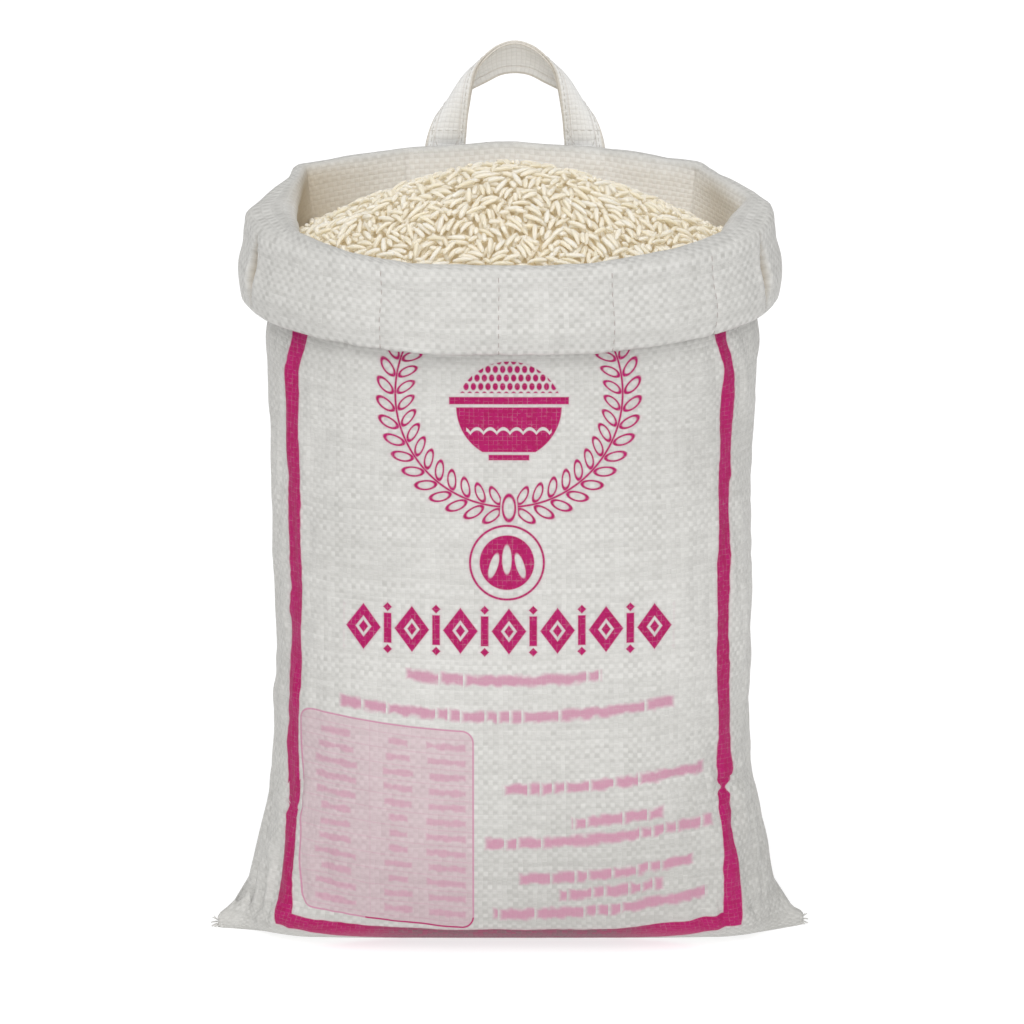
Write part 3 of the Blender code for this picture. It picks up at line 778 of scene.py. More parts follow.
INSIDE_CREASE_WIDTH = 1.6
# Painted shade in the back corners of the inner wall: column, reach and share
CORNER_SHADE = ((59.5, 40.0, 0.85), (36.5, 22.0, 0.3))
column_place = np.arange(COLUMNS) * PLAN_COLUMNS / COLUMNS


def away_from(column):
    """How far round the cuff each column lies from a place in the plan."""
    return np.abs(column_place - column)[None, :] * PLAN_COLUMN_WIDTH


def groove(column, width):
    return np.exp(-((away_from(column) / width) ** 2))


def cuff_plan(half_width, half_depth):
    """A row of the cuff: an oval, flatter between the creases at the back, and never tight on the wall."""
    plan = ring(half_width, half_depth, CUFF_SQUARENESS)
    for start, end in BACK_CREASES:
        first, last = start * COLUMNS // PLAN_COLUMNS, end * COLUMNS // PLAN_COLUMNS
        share = ((np.arange(first, last) - first) / (last - first))[:, None]
        chord = plan[first] * (1 - share) + plan[last % COLUMNS] * share
        plan[first:last] += BACK_FLATNESS * (chord - plan[first:last])
    far = np.hypot(plan[:, 0], plan[:, 1])
    least = np.hypot(edge_plan[:, 0], edge_plan[:, 1]) + ROLL_WIDTH
    return plan * (np.maximum(far, least) / far)[:, None]


shoulder = cuff_plan(*CUFF_SECTIONS[0][1:])
cuff_rows = list(neck_rows)
for drop, share in TURN_SECTIONS:
    cuff_rows.append(raised(edge_plan + share * (shoulder - edge_plan), MOUTH_HEIGHT - drop, edge_lift))
for number, (drop, half_width, half_depth) in enumerate(CUFF_SECTIONS):
    lifted = SHOULDER_LIFT * edge_lift if number == 0 else 0.0
    cuff_rows.append(raised(cuff_plan(half_width, half_depth), MOUTH_HEIGHT - drop, lifted))
cuff_rows = np.array(cuff_rows)
places = along_rows(cuff_rows)
up_cuff = np.linspace(0.0, places[-1], int(places[-1] / CUFF_SPACING))
cuff_sheet = smooth_rows(cuff_rows, places, up_cuff)
crest_up = places[len(NECK_SECTIONS)]
shoulder_up = places[len(NECK_SECTIONS) + len(TURN_SECTIONS)]
hem_up = places[-2]
cuff_normals = outward(cuff_sheet)
outer_share = smooth_step(up_cuff, shoulder_up - 4.0, shoulder_up + 6.0)[:, None]
inner_share = (1.0 - smooth_step(up_cuff, crest_up - 6.0, crest_up + 3.0))[:, None]
down_share = np.clip((up_cuff - shoulder_up + 5.0) / (hem_up - shoulder_up + 3.0), 0.0, 1.0)[:, None]
lens = np.sin(math.pi * down_share)
crumple = crumpled(CRUMPLES, up_cuff)
# The tucks are grooves in the cloth. Their mask, with the back corners below, is also kept as painted shade
# for the colour.
tuck = np.zeros_like(crumple)
for column, half_width, depth in CUFF_TUCKS:
    away = away_from(column)
    mask = smooth_step(1.0 - away / np.maximum(half_width * lens, 0.05), 0.0, 0.45) * np.sqrt(lens)
    lip = np.exp(-(((away - half_width - TUCK_LIP_WIDTH) / TUCK_LIP_WIDTH) ** 2)) * lens
    crumple = crumple - depth * mask + TUCK_LIP * lip
    tuck = np.maximum(tuck, mask)
thread_columns = []
for thread_x, depth in THREAD_LINES:
    column = int(np.argmin(np.abs(shoulder[: COLUMNS // 2, 0] - thread_x)))
    thread_columns.append(column)
    crumple = crumple - depth * groove(column_place[column], THREAD_GROOVE_WIDTH) * outer_share
for column, depth in INSIDE_CREASES:
    crumple = crumple - depth * groove(column, INSIDE_CREASE_WIDTH) * inner_share
for column, reach, share in CORNER_SHADE:
    tuck = np.maximum(tuck, share * groove(column, reach) * inner_share)
cuff = cuff_sheet - (CLOTH_SIDE + crumple)[..., None] * cuff_normals
cuff_lining_rows = np.linspace(len(cuff) - 1, 0, CUFF_LINING_ROWS).astype(int)
cuff_lining = cuff[cuff_lining_rows] + CUFF_LINING * cuff_normals[cuff_lining_rows]
cuff_grid = np.concatenate((cuff, cuff_lining))[::-1]
cuff_up = np.concatenate((up_cuff, up_cuff[cuff_lining_rows]))[::-1]
sack_cuff = cloth_mesh("sack_cuff", cuff_grid, cuff_up, closed=True)
# The painted shade goes to the cuff's points as an attribute
recess_shade_layer = sack_cuff.data.attributes.new("tuck", "FLOAT", "POINT")
recess_shade_values = np.concatenate((tuck, tuck[cuff_lining_rows]))[::-1]
recess_shade_layer.data.foreach_set("value", recess_shade_values.ravel().astype(np.float32))
sack_cuff.data.materials.append(cloth_material("cuff_cloth", printed=False, inside_up=crest_up))
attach(sack_cuff, "root")
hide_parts("sack")

# Carrying strap: a band of the same woven cloth, folded double and sewn along both edges. Its two flat ends
# are sewn to the back of the cuff, and its arch leans over so that its underside shows from the front.

STRAP_MIDDLE = 2.5
STRAP_THICKNESS = 2.0
STRAP_WIDTH = 19.6
# Front edge, back edge and bulge of the band between them
STRAP_ROWS = np.array((
    (25.3, 92.3, 345.0, 44.9, 90.3, 345.0, 0.0),
    (25.3, 92.3, 362.0, 44.9, 90.3, 362.0, 0.0),
    (25.3, 91.8, 377.5, 44.9, 90.3, 378.0, 0.3),
    (24.3, 89.8, 391.0, 41.5, 93.8, 389.3, 2.0),
    (23.0, 88.0, 401.6, 36.0, 97.0, 397.0, 3.3),
    (21.7, 87.0, 410.1, 29.5, 99.0, 402.2, 4.3),
    (19.6, 86.5, 418.4, 22.8, 99.5, 406.2, 4.2),
    (15.5, 86.5, 424.6, 14.5, 98.5, 410.5, 3.4),
    (8.7, 86.5, 430.4, 7.2, 97.5, 414.4, 2.4),
    (0.0, 86.5, 433.0, 0.0, 97.0, 415.6, 1.6),
))
STRAP_ARCH_FOOT = 385.0
STRAP_STEPS = 9
STRAP_ACROSS = 20
FRONT_SLOT = ((0.85, -0.25), (0.22, -0.15), (0.0, 0.9), (-0.22, -0.15), (-0.85, -0.25))
BACK_FOLD = ((0.7, 0.35), (0.0, 0.55), (-0.7, 0.35))

strap_control = np.concatenate((STRAP_ROWS * (-1, 1, 1, -1, 1, 1, 1), STRAP_ROWS[-2::-1]))
last_row = len(strap_control) - 1
strap_rows = smooth_rows(
    strap_control, np.arange(last_row + 1.0), np.linspace(0, last_row, last_row * STRAP_STEPS + 1),
)
strap_points = []
for row in strap_rows:
    front_edge, back_edge, bulge = row[:3], row[3:6], row[6]
    middle = (front_edge + back_edge) / 2
    across = (back_edge - front_edge) / np.linalg.norm(back_edge - front_edge)
    out = np.array((middle[0], 0.0, middle[2] - STRAP_ARCH_FOOT))
    out -= (out @ across) * across
    out /= np.linalg.norm(out)
    share = np.linspace(0.0, 1.0, STRAP_ACROSS + 1)[:, None]
    line = front_edge + share * (back_edge - front_edge) + 4 * share * (1 - share) * bulge * out
    strap_points.append(line + (STRAP_MIDDLE, 0.0, 0.0))
strap_points = np.array(strap_points)
strap_up = along_rows(strap_points)
strap_out = np.cross(np.gradient(strap_points, axis=0), np.gradient(strap_points, axis=1))
strap_out /= np.linalg.norm(strap_out, axis=2, keepdims=True)
strap_side = np.gradient(strap_points, axis=1)
strap_side /= np.linalg.norm(strap_side, axis=2, keepdims=True)
half_fold = STRAP_THICKNESS / 2
face_out = strap_points + half_fold * strap_out
face_in = strap_points - half_fold * strap_out
front_slot = [
    strap_points[:, :1] - off * half_fold * strap_out[:, :1] + deep * strap_side[:, :1]
    for off, deep in FRONT_SLOT
]
back_fold = [
    strap_points[:, -1:] + off * half_fold * strap_out[:, -1:] + deep * strap_side[:, -1:]
    for off, deep in BACK_FOLD
]
strap_loop = np.concatenate((face_out, *back_fold, face_in[:, ::-1], *front_slot), axis=1)
band_u = np.linspace(0.0, STRAP_WIDTH, STRAP_ACROSS + 1)
slot_u = (0.3, 0.1, 0.0, 0.1, 0.3)
fold_u = (STRAP_WIDTH - 0.1, STRAP_WIDTH, STRAP_WIDTH - 0.1)
loop_u = np.concatenate((band_u, fold_u, band_u[::-1], slot_u))
count_up, count_round = strap_loop.shape[:2]
strap_index = np.arange(count_up * count_round).reshape(count_up, count_round)
next_index = np.roll(strap_index, -1, axis=1)
strap_quads = np.stack((
    strap_index[:-1], strap_index[1:], next_index[1:], next_index[:-1],
), axis=2).reshape(-1, 4)
strap_faces = strap_quads.tolist() + [strap_index[0].tolist(), strap_index[-1, ::-1].tolist()]
strap_mesh = bpy.data.meshes.new("strap_band")
strap_mesh.from_pydata((strap_loop.reshape(-1, 3) * MM).tolist(), [], strap_faces)
strap_uv = np.stack((
    np.broadcast_to(loop_u, (count_up, count_round)),
    np.broadcast_to(strap_up[:, None], (count_up, count_round)),
), axis=2).reshape(-1, 2)
loop_corners = np.concatenate([np.ravel(face) for face in strap_faces]).astype(int)
strap_layer = strap_mesh.uv_layers.new(name="cloth")
strap_layer.data.foreach_set("uv", (strap_uv[loop_corners] * MM).ravel().astype(np.float32))
strap_mesh.shade_smooth()
strap_band = placed("strap_band", strap_mesh)
strap_band.data.materials.append(cloth_material("strap_cloth", printed=False, folded_width=STRAP_WIDTH))
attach(strap_band, "root")
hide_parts("strap")

# Sewing threads: cotton thread run along the strap's edges and across its ends, and in the four seam lines
# that show on the front of the cuff. Each stitch is a short dash, half sunk in the cloth.

THREAD_COLOUR = (0.66, 0.64, 0.60)
CUFF_THREAD_COLOUR = (0.42, 0.36, 0.34)
THREAD_LIFT = 0.05
STRAP_STITCH_INSET = 2
STRAP_BOX_ROWS = (2, 24)
STRAP_BOX_STEPS = 16


def new_tree(name, numbers, counts=()):
    """A tree of nodes with named inputs: a wire to build it from, and the wire of what it is given."""
    tree = bpy.data.node_groups.new(name, "GeometryNodeTree")
    tree.interface.new_socket("Geometry", in_out="INPUT", socket_type="NodeSocketGeometry")
    for kind, values in (("NodeSocketFloat", numbers), ("NodeSocketInt", counts)):
        for key, value in dict(values).items():
            tree.interface.new_socket(key, in_out="INPUT", socket_type=kind).default_value = value
    tree.interface.new_socket("Surface", in_out="INPUT", socket_type="NodeSocketMaterial")
    tree.interface.new_socket("Geometry", in_out="OUTPUT", socket_type="NodeSocketGeometry")
    wire = Wire(tree)
    return wire, wire.node("NodeGroupInput")


def lay(wire, given, points, instance, turn, size, smooth=True):
    """Ends a tree: one instance on every point, made real, with the given material."""
    placing = {"Points": points, "Instance": instance, "Rotation": turn, "Scale": size}
    laid = wire.node("GeometryNodeInstanceOnPoints", placing)
    whole = wire.node("GeometryNodeRealizeInstances", {"Geometry": laid})
    if smooth:
        whole = wire.node("GeometryNodeSetShadeSmooth", {"Geometry": whole})
    finished = wire.node("GeometryNodeSetMaterial", {"Geometry": whole, "Material": given.other("Surface")})
    wire.node("NodeGroupOutput", {"Geometry": finished})
    return wire.tree


def named(wire, name):
    """The value that every point keeps under a name."""
    return wire.node("GeometryNodeInputNamedAttribute", {"Name": name}, data_type="FLOAT_VECTOR")


def stitch_tree():
    """Nodes that lay a stitch at even distances along lines, turned to run along them."""
    sizes = {"Pitch": 0.0042, "Stitch Length": 0.0028, "Thread Thickness": 0.0006}
    wire, given = new_tree("stitches", sizes)
    curves = wire.node("GeometryNodeMeshToCurve", {"Mesh": given})
    spaced = wire.node(
        "GeometryNodeResampleCurve", {"Curve": curves, "Length": given.other("Pitch")}, mode="LENGTH",
    )
    thread = wire.node("GeometryNodeMeshUVSphere", {"Segments": 6, "Rings": 5, "Radius": 0.5})
    thickness = given.other("Thread Thickness")
    size = wire.node("ShaderNodeCombineXYZ", {0: given.other("Stitch Length"), 1: thickness, 2: thickness})
    tangent = wire.node("GeometryNodeInputTangent")
    turn = wire.node("FunctionNodeAlignRotationToVector", {"Vector": tangent}, axis="X")
    return lay(wire, given, spaced, thread, turn, size)


def make_plain(name, points, edges, attributes, tree, settings):
    """Runs a tree of nodes on points or lines and keeps its result as a plain mesh."""
    mesh = bpy.data.meshes.new(name)
    mesh.from_pydata(points, edges, [])
    for key, (kind, values) in attributes.items():
        layer = mesh.attributes.new(key, kind, "POINT")
        field = "vector" if kind == "FLOAT_VECTOR" else "value"
        layer.data.foreach_set(field, np.asarray(values, dtype=np.float32).ravel())
    made = placed(name, mesh)
    modifier = made.modifiers.new("nodes", "NODES")
    modifier.node_group = tree
    for socket in tree.interface.items_tree:
        if socket.name in settings and socket.in_out == "INPUT":
            modifier[socket.identifier] = settings[socket.name]
    bpy.context.view_layer.update()
    graph = bpy.context.evaluated_depsgraph_get()
    plain = bpy.data.meshes.new_from_object(made.evaluated_get(graph))
    made.modifiers.remove(modifier)
    made.data = plain
    plain.name = name
    return made


def thread_material(name, colour):
    material, shader, wire = new_material(name)
    place = wire.node("ShaderNodeTexCoord", output=3)
    twist = noise(wire, place, 1500.0, 1.0)
    link_in(shader, blended(0.5 * twist, colour, [0.7 * part for part in colour]), "Base Color")
    link_in(shader, 0.6 + 0.2 * twist, "Roughness")
    bump = wire.node("ShaderNodeBump", {"Strength": 0.3, "Distance": 0.0002, "Height": twist})
    link_in(shader, bump, "Normal")
    return material


def as_lines(paths):
    """The points and edges of a set of paths."""
    points, edges = [], []
    for path in paths:
        edges += [(len(points) + k, len(points) + k + 1) for k in range(len(path) - 1)]
        points += (np.asarray(path) * MM).tolist()
    return points, edges


stitches = stitch_tree()
stitched_face = strap_points + (half_fold + THREAD_LIFT) * strap_out
inner, outer = STRAP_STITCH_INSET, STRAP_ACROSS - STRAP_STITCH_INSET
strap_paths = [stitched_face[:, inner], stitched_face[:, outer]]
low, high = STRAP_BOX_ROWS
steps = np.linspace(0.0, 1.0, STRAP_BOX_STEPS)
columns_across = np.round(inner + steps * (outer - inner)).astype(int)
for first, last in ((low, high), (len(strap_points) - 1 - low, len(strap_points) - 1 - high)):
    strap_paths += [stitched_face[row_number, inner:outer + 1] for row_number in (first, last)]
    rows_across = np.round(first + steps * (last - first)).astype(int)
    for columns in (columns_across, columns_across[::-1]):
        strap_paths.append(stitched_face[rows_across, columns])
points, edges = as_lines(strap_paths)
strap_stitches = make_plain(
    "strap_stitches", points, edges, {}, stitches,
    {"Pitch": 0.0034, "Stitch Length": 0.0027, "Thread Thickness": 0.0005,
     "Surface": thread_material("strap_thread", THREAD_COLOUR)},
)
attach(strap_stitches, "root")

thread_rows = np.flatnonzero((up_cuff > shoulder_up - 4.0) & (up_cuff < hem_up - 1.0))
points, edges = as_lines([cuff[thread_rows, column] for column in thread_columns])
cuff_threads = make_plain(
    "cuff_threads", points, edges, {}, stitches,
    {"Pitch": 0.0042, "Stitch Length": 0.0030, "Thread Thickness": 0.00045,
     "Surface": thread_material("cuff_thread", CUFF_THREAD_COLOUR)},
)
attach(cuff_threads, "root")

# Frayed ears: where the bottom corners are cut, a few tape ends stand out of the cloth, each a flat plastic
# tape about 2 mm wide, split and bent.

# Place, direction in degrees, rise, length and width
FRAYED_ENDS = (
    (-147.0, -13.5, 2.2, -172.0, 0.10, 6.0, 2.2),
    (-147.2, -12.0, 2.9, 170.0, 0.55, 5.0, 1.5),
    (-146.8, -15.0, 1.6, -155.0, -0.12, 6.5, 2.0),
    (-146.5, -16.0, 1.2, -128.0, 0.04, 5.5, 1.7),
    (-146.9, -14.2, 3.2, 178.0, 0.95, 5.5, 1.2),
    (-144.0, -16.6, 1.2, -110.0, 0.02, 4.0, 1.8),
    (147.0, -8.6, 2.4, -6.0, 0.18, 5.5, 2.2),
    (147.0, -7.2, 3.0, 12.0, 0.70, 5.5, 1.5),
    (146.8, -10.0, 1.6, -24.0, -0.05, 6.0, 2.0),
    (146.4, -11.2, 1.2, -48.0, 0.03, 5.0, 1.6),
    (146.9, -9.0, 3.3, 2.0, 1.05, 4.5, 1.2),
    (143.5, -11.8, 1.2, -72.0, 0.02, 3.5, 1.8),
)
FRAY_LENGTH = 0.55


def tape_tree():
    """Nodes that make one flat tape end, bent down along its length, and set it on every point."""
    wire, given = new_tree("tape ends", {"Droop": 0.25, "Thinness": 0.12})
    block = wire.node(
        "GeometryNodeMeshCube", {"Size": (1.0, 1.0, 1.0), "Vertices X": 7, "Vertices Y": 3, "Vertices Z": 2},
    )
    here = wire.node("ShaderNodeSeparateXYZ", {0: wire.node("GeometryNodeInputPosition")})
    along = here + 0.5
    thin = here.other(2) * given.other("Thinness")
    narrowed = here.other(1) * (1.0 - 0.45 * along * along)
    bent = thin - given.other("Droop") * along * along
    moved = wire.node("ShaderNodeCombineXYZ", {0: along, 1: narrowed, 2: bent})
    shaped = wire.node("GeometryNodeSetPosition", {"Geometry": block, "Position": moved})
    return lay(wire, given, given, shaped, named(wire, "turn"), named(wire, "size"), smooth=False)


ends = np.array(FRAYED_ENDS)
end_turns = np.column_stack((np.zeros(len(ends)), -ends[:, 4], np.radians(ends[:, 3])))
end_sizes = np.column_stack((FRAY_LENGTH * ends[:, 5], ends[:, 6], ends[:, 6])) * MM
ear_fray = make_plain(
    "ear_fray", (ends[:, :3] * MM).tolist(), [],
    {"turn": ("FLOAT_VECTOR", end_turns), "size": ("FLOAT_VECTOR", end_sizes)},
    tape_tree(), {"Droop": 0.3, "Surface": thread_material("tape_end", CLOTH_COLOUR)},
)
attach(ear_fray, "root")

# Rice: dry long grains, cream white and slightly glossy, poured into the sack and heaped above its mouth. A
# core fills the heap from below, and loose grains lie on it, each at rest on the ones below it.

RICE_EDGE_HEIGHT = 350.0
HEAP_HEIGHT = 40.0
HEAP_HALF_WIDTH = 107.0
HEAP_HALF_DEPTH = 82.0
HEAP_TOP_ROUNDING = 0.14
CORE_DEPTH = 6.5
CORE_BOTTOM = 300.0
CORE_GAP = 1.5
CORE_LOW_GAP = 4.0
CORE_RINGS = 60
CORE_SPOKES = 160
WALL_CLEARANCE = 1.0
REST_CLEARANCE = 2.0
# Name, number dropped, range of lengths, width, bend, colour, deeper colour and chalk
GRAIN_KINDS = (
    ("rice_whole", 2450, (9.8, 11.4), 2.8, 0.10, (0.71, 0.665, 0.57), (0.67, 0.605, 0.48), 0.2),
    ("rice_slender", 2450, (10.0, 11.8), 2.55, 0.15, (0.71, 0.65, 0.54), (0.66, 0.595, 0.455), 0.0),
    ("rice_chalky", 2400, (9.2, 11.0), 2.9, 0.06, (0.72, 0.69, 0.61), (0.68, 0.645, 0.55), 0.8),
    ("rice_curved", 2400, (9.6, 11.2), 2.7, 0.22, (0.71, 0.655, 0.55), (0.67, 0.605, 0.475), 0.3),
    ("rice_broken", 700, (4.6, 7.0), 2.7, 0.04, (0.71, 0.665, 0.57), (0.67, 0.605, 0.49), 0.4),
)
# The core is painted darker than the grains, as painted shade for the gaps between them
BELOW_SHADE_COLOURS = ((0.66, 0.56, 0.38), (0.56, 0.45, 0.27))
CHALK_COLOUR = (0.72, 0.69, 0.615)
GERM_COLOUR = (0.62, 0.53, 0.38)
GLOW_COLOUR = (0.95, 0.80, 0.54, 1.0)
GLOW = 0.11
LIGHT_REACH = (0.0060, 0.0056, 0.0048)
CELL = 0.5
FIELD_HALF_WIDTH = 125.0
FIELD_HALF_DEPTH = 92.0
WALL = 1000.0
CELLS_DRAWN = 60
OFFSETS_ACROSS = 7
GRAIN_FLATNESS = 0.8
MOST_ROLL = 0.6
HALF_SAMPLES = 13
CELLS_TRIED = 4
DIRECTIONS_TRIED = 6
SUPPORT_WIDTH = 0.5
STEEPEST = 0.95
MOST_OVER = 2.6


def heap_height(x, y):
    """The smooth height of the heaped rice, level where it meets the cloth."""
    away = np.hypot(x / HEAP_HALF_WIDTH, y / HEAP_HALF_DEPTH)
    cone = 1 - np.hypot(away, HEAP_TOP_ROUNDING)
    dome = 1 - away * away
    return RICE_EDGE_HEIGHT + HEAP_HEIGHT * np.maximum((cone + dome) / 2, -0.05)


wall = cuff[np.searchsorted(up_cuff, places[2])]
wall_turn = np.arctan2(wall[:, 1], wall[:, 0])
wall_reach = np.hypot(wall[:, 0], wall[:, 1])
order = np.argsort(wall_turn)
wall_turn, wall_reach = wall_turn[order], wall_reach[order]


def room(x, y):
    """How far a point is from the inner wall, towards the middle."""
    reach = np.interp(np.arctan2(y, x), wall_turn, wall_reach, period=math.tau)
    return reach - np.hypot(x, y)


def rice_core():
    """A closed lump below the loose grains: a top that follows the heap, and a wall inside the cloth."""
    turn = np.linspace(0.0, math.tau, CORE_SPOKES, endpoint=False)
    low_wall = np.hypot(neck_rows[0][order, 0], neck_rows[0][order, 1])
    reach = np.interp(turn, wall_turn, wall_reach, period=math.tau) - CORE_GAP
    low_reach = np.interp(turn, wall_turn, low_wall, period=math.tau) - CORE_LOW_GAP
    points = [(0.0, 0.0, float(heap_height(0.0, 0.0)) - CORE_DEPTH)]
    for k in range(1, CORE_RINGS + 1):
        share = k / CORE_RINGS
        x, y = reach * share * np.cos(turn), reach * share * np.sin(turn)
        points += np.column_stack((x, y, heap_height(x, y) - CORE_DEPTH)).tolist()
    foot = np.full(CORE_SPOKES, CORE_BOTTOM)
    points += np.column_stack((low_reach * np.cos(turn), low_reach * np.sin(turn), foot)).tolist()
    spoke = np.arange(CORE_SPOKES)
    after = (spoke + 1) % CORE_SPOKES
    faces = np.column_stack((0 * spoke, 1 + spoke, 1 + after)).tolist()
    for base in range(1, 1 + CORE_RINGS * CORE_SPOKES, CORE_SPOKES):
        upper, lower = base, base + CORE_SPOKES
        faces += np.column_stack((upper + spoke, lower + spoke, lower + after, upper + after)).tolist()
    faces.append(list(range(len(points) - 1, len(points) - CORE_SPOKES - 1, -1)))
    mesh = bpy.data.meshes.new("rice_core")
    mesh.from_pydata((np.array(points) * MM).tolist(), [], faces)
    mesh.shade_smooth()
    return placed("rice_core", mesh)


def settle_grains():
    """Drops the grains one by one where the heap lacks most. Each tries some directions and keeps the one
    that lets it sink deepest, resting on a high point below either half."""
    chance = np.random.default_rng(5)
    half_x, half_y = FIELD_HALF_WIDTH, FIELD_HALF_DEPTH
    nx, ny = int(2 * half_x / CELL), int(2 * half_y / CELL)
    field_x, field_y = (np.arange(nx) + 0.5) * CELL - half_x, (np.arange(ny) + 0.5) * CELL - half_y
    gx, gy = np.meshgrid(field_x, field_y, indexing="ij")
    target = heap_height(gx, gy)
    free = room(gx, gy)
    height = np.where(free < WALL_CLEARANCE, WALL, target - CORE_DEPTH)
    inside = np.argwhere(free > REST_CLEARANCE)
    kinds = np.concatenate([np.full(count, number) for number, (_, count, *_) in enumerate(GRAIN_KINDS)])
    chance.shuffle(kinds)
    made = [[] for _ in GRAIN_KINDS]
    share = np.linspace(-1.0, 1.0, 2 * HALF_SAMPLES + 1)
    rise = np.sqrt(np.maximum(0.0, 1.0 - share ** 2))
    for kind in kinds:
        _, _, lengths, width, *_ = GRAIN_KINDS[kind]
        length, radius = chance.uniform(*lengths), 0.5 * width
        picked = inside[chance.integers(0, len(inside), CELLS_DRAWN)]
        lack = (target - height)[picked[:, 0], picked[:, 1]]
        picked = np.repeat(picked[np.argsort(-lack)[:CELLS_TRIED]], DIRECTIONS_TRIED, axis=0)
        turn = chance.uniform(0.0, math.pi, len(picked))
        t = share * length / 2
        cos, sin = np.cos(turn)[:, None, None], np.sin(turn)[:, None, None]
        wide = (SUPPORT_WIDTH * radius * np.array((-1.0, 0.0, 1.0)))[None, :, None]
        cx, cy = gx[picked[:, 0], picked[:, 1]], gy[picked[:, 0], picked[:, 1]]
        jx = ((cx[:, None, None] + t * cos - wide * sin + half_x) / CELL).astype(int)
        jy = ((cy[:, None, None] + t * sin + wide * cos + half_y) / CELL).astype(int)
        under = height[jx.clip(0, nx - 1), jy.clip(0, ny - 1)].max(axis=1)
        low, high = t[:HALF_SAMPLES], t[HALF_SAMPLES + 1:]
        first, last = under[:, :HALF_SAMPLES, None], under[:, None, HALF_SAMPLES + 1:]
        run = high[None, :] - low[:, None]
        middle = ((first * high[None, None, :] - last * low[None, :, None]) / run).reshape(len(picked), -1)
        pair = middle.argmax(axis=1)
        each = np.arange(len(picked))
        slope = ((last - first) / run).reshape(len(picked), -1)[each, pair]
        rest = np.maximum(middle[each, pair], under[:, HALF_SAMPLES])
        over = rest + 2 * radius - target[picked[:, 0], picked[:, 1]]
        over[(under.max(axis=1) > WALL / 2) | (np.abs(slope) > STEEPEST)] = WALL
        k = int(over.argmin())
        if over[k] > MOST_OVER:
            continue
        offset = np.linspace(-radius, radius, OFFSETS_ACROSS)[:, None]
        kx = ((cx[k] + t * math.cos(turn[k]) - offset * math.sin(turn[k]) + half_x) / CELL).astype(int)
        ky = ((cy[k] + t * math.sin(turn[k]) + offset * math.cos(turn[k]) + half_y) / CELL).astype(int)
        bulge = rise * np.sqrt(np.maximum(0.0, 1.0 - (offset / radius) ** 2))
        half_thick = GRAIN_FLATNESS * radius
        np.maximum.at(height, (kx, ky), rest[k] + slope[k] * t + half_thick * (1.0 + bulge))
        made[kind].append((cx[k], cy[k], rest[k] + half_thick, slope[k], turn[k], length, width))
    return made


def grain_tree():
    """Nodes that make one grain, long and slightly bent with a blunt germ end, and lay it on every point."""
    shape = {"Middle Thickness": 0.82, "Bend": 0.1, "Blunt Germ": 0.14}
    wire, given = new_tree("rice grains", shape, {"Sides": 8, "Rings": 6})
    sides, rings = given.other("Sides"), given.other("Rings")
    ball = wire.node("GeometryNodeMeshUVSphere", {"Segments": sides, "Rings": rings, "Radius": 1.0})
    here = wire.node("GeometryNodeInputPosition")
    parts = wire.node("ShaderNodeSeparateXYZ", {0: here})
    side, deep, along = parts, parts.other(1), parts.other(2)
    fuller = (1.04 - along * along) ** -0.13
    blunt = 1.0 - given.other("Blunt Germ") * along
    across = side * fuller * blunt * 0.5
    bend = given.other("Bend") * (along * along - 0.4)
    rise = deep * fuller * blunt * given.other("Middle Thickness") * 0.5 - bend
    moved = wire.node("ShaderNodeCombineXYZ", {0: along * 0.5, 1: across, 2: rise})
    shaped = wire.node("GeometryNodeSetPosition", {"Geometry": ball, "Position": moved})
    marked = wire.node(
        "GeometryNodeStoreNamedAttribute", {"Geometry": shaped, "Name": "grain_along", "Value": along},
        data_type="FLOAT", domain="POINT",
    )
    return lay(wire, given, given, marked, named(wire, "turn"), named(wire, "size"))


def rice_material(name, colour, deep, chalk):
    """A grain's skin: translucent cream with a chalky belly in some, and a duller germ end. The light that
    passes on from grain to grain is added as a faint glow."""
    material, shader, wire = new_material(name)
    tone = wire.node("ShaderNodeAttribute", output=2, attribute_name="tone")
    along = wire.node("ShaderNodeAttribute", output=2, attribute_name="grain_along")
    place = wire.node("ShaderNodeTexCoord", output=3)
    cloud = noise(wire, place, 260.0, 2.0)
    base = blended(0.75 * tone + 0.5 * (cloud - 0.5), colour, deep)
    base = blended(chalk * ramp(cloud, 0.42, 0.62), base, CHALK_COLOUR)
    base = blended(0.45 * ramp(along, 0.84, 0.99), base, GERM_COLOUR)
    link_in(shader, base, "Base Color")
    link_in(shader, 0.46 + 0.18 * cloud, "Roughness")
    shader.inputs["Specular IOR Level"].default_value = 0.3
    shader.inputs["Subsurface Weight"].default_value = 1.0
    shader.inputs["Subsurface Radius"].default_value = LIGHT_REACH
    shader.inputs["Subsurface Scale"].default_value = 1.0
    shader.inputs["Emission Color"].default_value = GLOW_COLOUR
    shader.inputs["Emission Strength"].default_value = GLOW
    grain = noise(wire, place, 900.0)
    bump = wire.node("ShaderNodeBump", {"Strength": 0.2, "Distance": 0.0001, "Height": grain})
    link_in(shader, bump, "Normal")
    return material


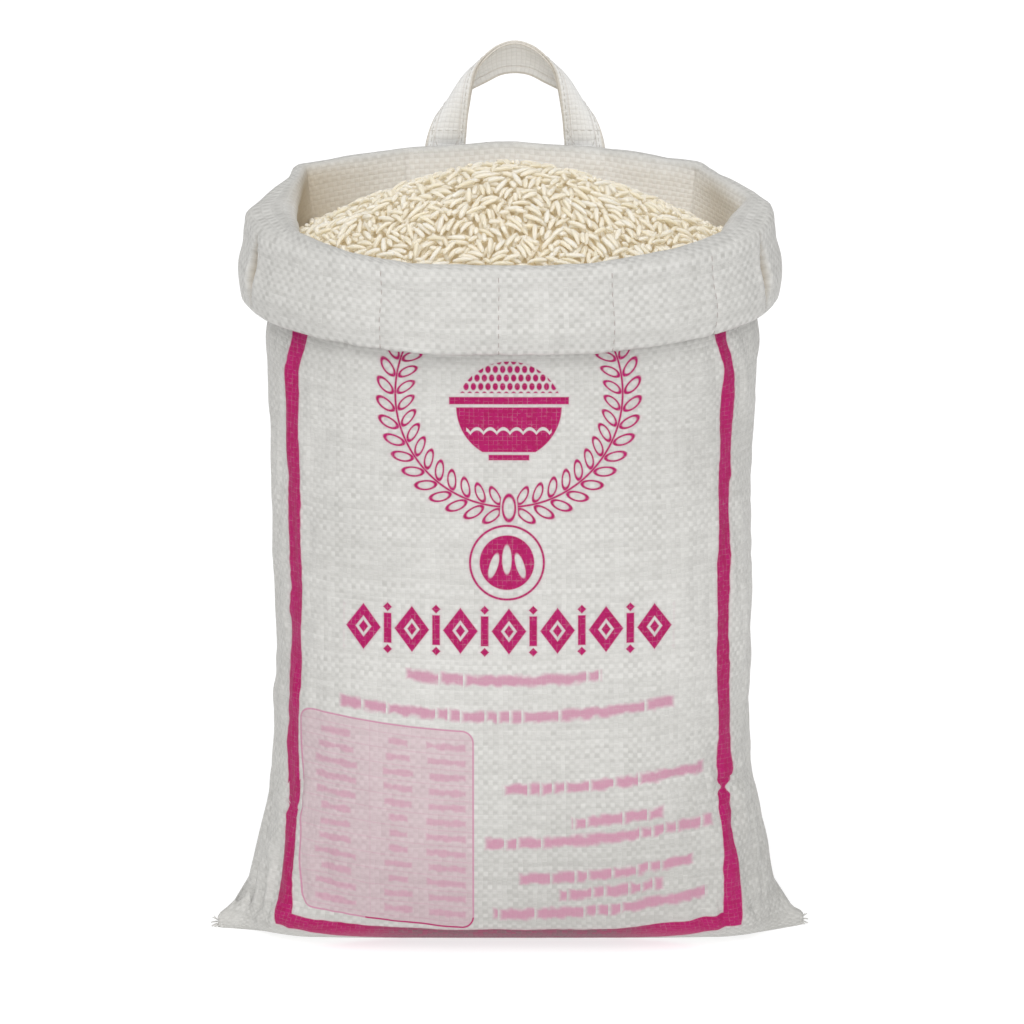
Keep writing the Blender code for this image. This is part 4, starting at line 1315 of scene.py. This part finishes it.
# The core under the loose grains, in darker painted shade
core = rice_core()
core.data.materials.append(rice_material("rice_below_shade", *BELOW_SHADE_COLOURS, 0.0))
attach(core, "root")
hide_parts("rice")
grains_nodes = grain_tree()
grain_chance = np.random.default_rng(31)
for (name, _, _, _, bend, *looks), grains in zip(GRAIN_KINDS, settle_grains()):
    grains = np.array(grains)
    points = (grains[:, :3] * MM).tolist()
    roll = grain_chance.uniform(-MOST_ROLL, MOST_ROLL, len(grains))
    flip = grain_chance.integers(0, 2, len(grains)) * math.pi
    turns = np.column_stack((roll, -np.arctan(grains[:, 3]), grains[:, 4]))
    turns[:, 1] = np.where(flip > 0, -turns[:, 1], turns[:, 1])
    turns[:, 2] += flip
    sizes = np.column_stack((grains[:, 5], grains[:, 6], grains[:, 6])) * MM
    tones = grain_chance.uniform(0.0, 1.0, len(grains))
    surface = rice_material(name, *looks)
    loose = make_plain(
        name, points, [],
        {"turn": ("FLOAT_VECTOR", turns), "size": ("FLOAT_VECTOR", sizes), "tone": ("FLOAT", tones)},
        grains_nodes, {"Bend": bend * 2.0, "Surface": surface},
    )
    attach(loose, "root")
    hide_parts("rice")

# Floor, light and camera: the sack stands on a plain white floor under soft studio light, and a long lens
# looks down on it a little from straight in front, as in the photograph.

FLOOR_HALF = 12.0
FLOOR_GREY = (0.36, 0.36, 0.36, 1.0)
FLOOR_GLOW = 0.74
WHITE = (1.0, 1.0, 1.0, 1.0)
ROOM_LIGHT = 0.42
floor_mesh = bpy.data.meshes.new("floor")
floor_corners = [(FLOOR_HALF * x, FLOOR_HALF * y, 0.0) for x, y in ((-1, -1), (1, -1), (1, 1), (-1, 1))]
floor_mesh.from_pydata(floor_corners, [], [(0, 1, 2, 3)])
floor = placed("floor", floor_mesh)
floor_material, floor_shader, _ = new_material("floor_white")
floor_shader.inputs["Base Color"].default_value = FLOOR_GREY
floor_shader.inputs["Roughness"].default_value = 0.9
floor_shader.inputs["Emission Color"].default_value = WHITE
floor_shader.inputs["Emission Strength"].default_value = FLOOR_GLOW
floor.data.materials.append(floor_material)

world = bpy.data.worlds.new("studio")
bpy.context.scene.world = world
world.use_nodes = True
world.node_tree.nodes["Background"].inputs["Color"].default_value = WHITE
world.node_tree.nodes["Background"].inputs["Strength"].default_value = ROOM_LIGHT
bpy.context.scene.view_settings.view_transform = "Standard"

# Name, angle to the side, height angle, spread and strength
LIGHTS = (
    ("key", -14.0, 60.0, 56.0, 1.72),
    ("fill", 14.0, 22.0, 46.0, 0.62),
)
for name, side_angle, height_angle, spread, strength in LIGHTS:
    lamp = bpy.data.lights.new(name, "SUN")
    lamp.angle = math.radians(spread)
    lamp.energy = strength
    placed(name, lamp).rotation_euler = (math.radians(90.0 - height_angle), 0.0, math.radians(side_angle))

CAMERA_DISTANCE = 6.0
CAMERA_HEIGHT_ANGLE = math.radians(13.0)
CAMERA_AIM = (0.001, 0.0, 0.2104)
VIEW_WIDTH = 0.512
SENSOR_WIDTH = 36.0
camera_data = bpy.data.cameras.new("camera")
camera_data.sensor_width = SENSOR_WIDTH
camera_data.lens = SENSOR_WIDTH * CAMERA_DISTANCE / VIEW_WIDTH
camera_data.clip_end = 10 * CAMERA_DISTANCE
camera = placed("camera", camera_data)
camera.location = (
    CAMERA_AIM[0],
    CAMERA_AIM[1] - CAMERA_DISTANCE * math.cos(CAMERA_HEIGHT_ANGLE),
    CAMERA_AIM[2] + CAMERA_DISTANCE * math.sin(CAMERA_HEIGHT_ANGLE),
)
camera.rotation_euler = (math.pi / 2 - CAMERA_HEIGHT_ANGLE, 0.0, 0.0)
bpy.context.scene.camera = camera
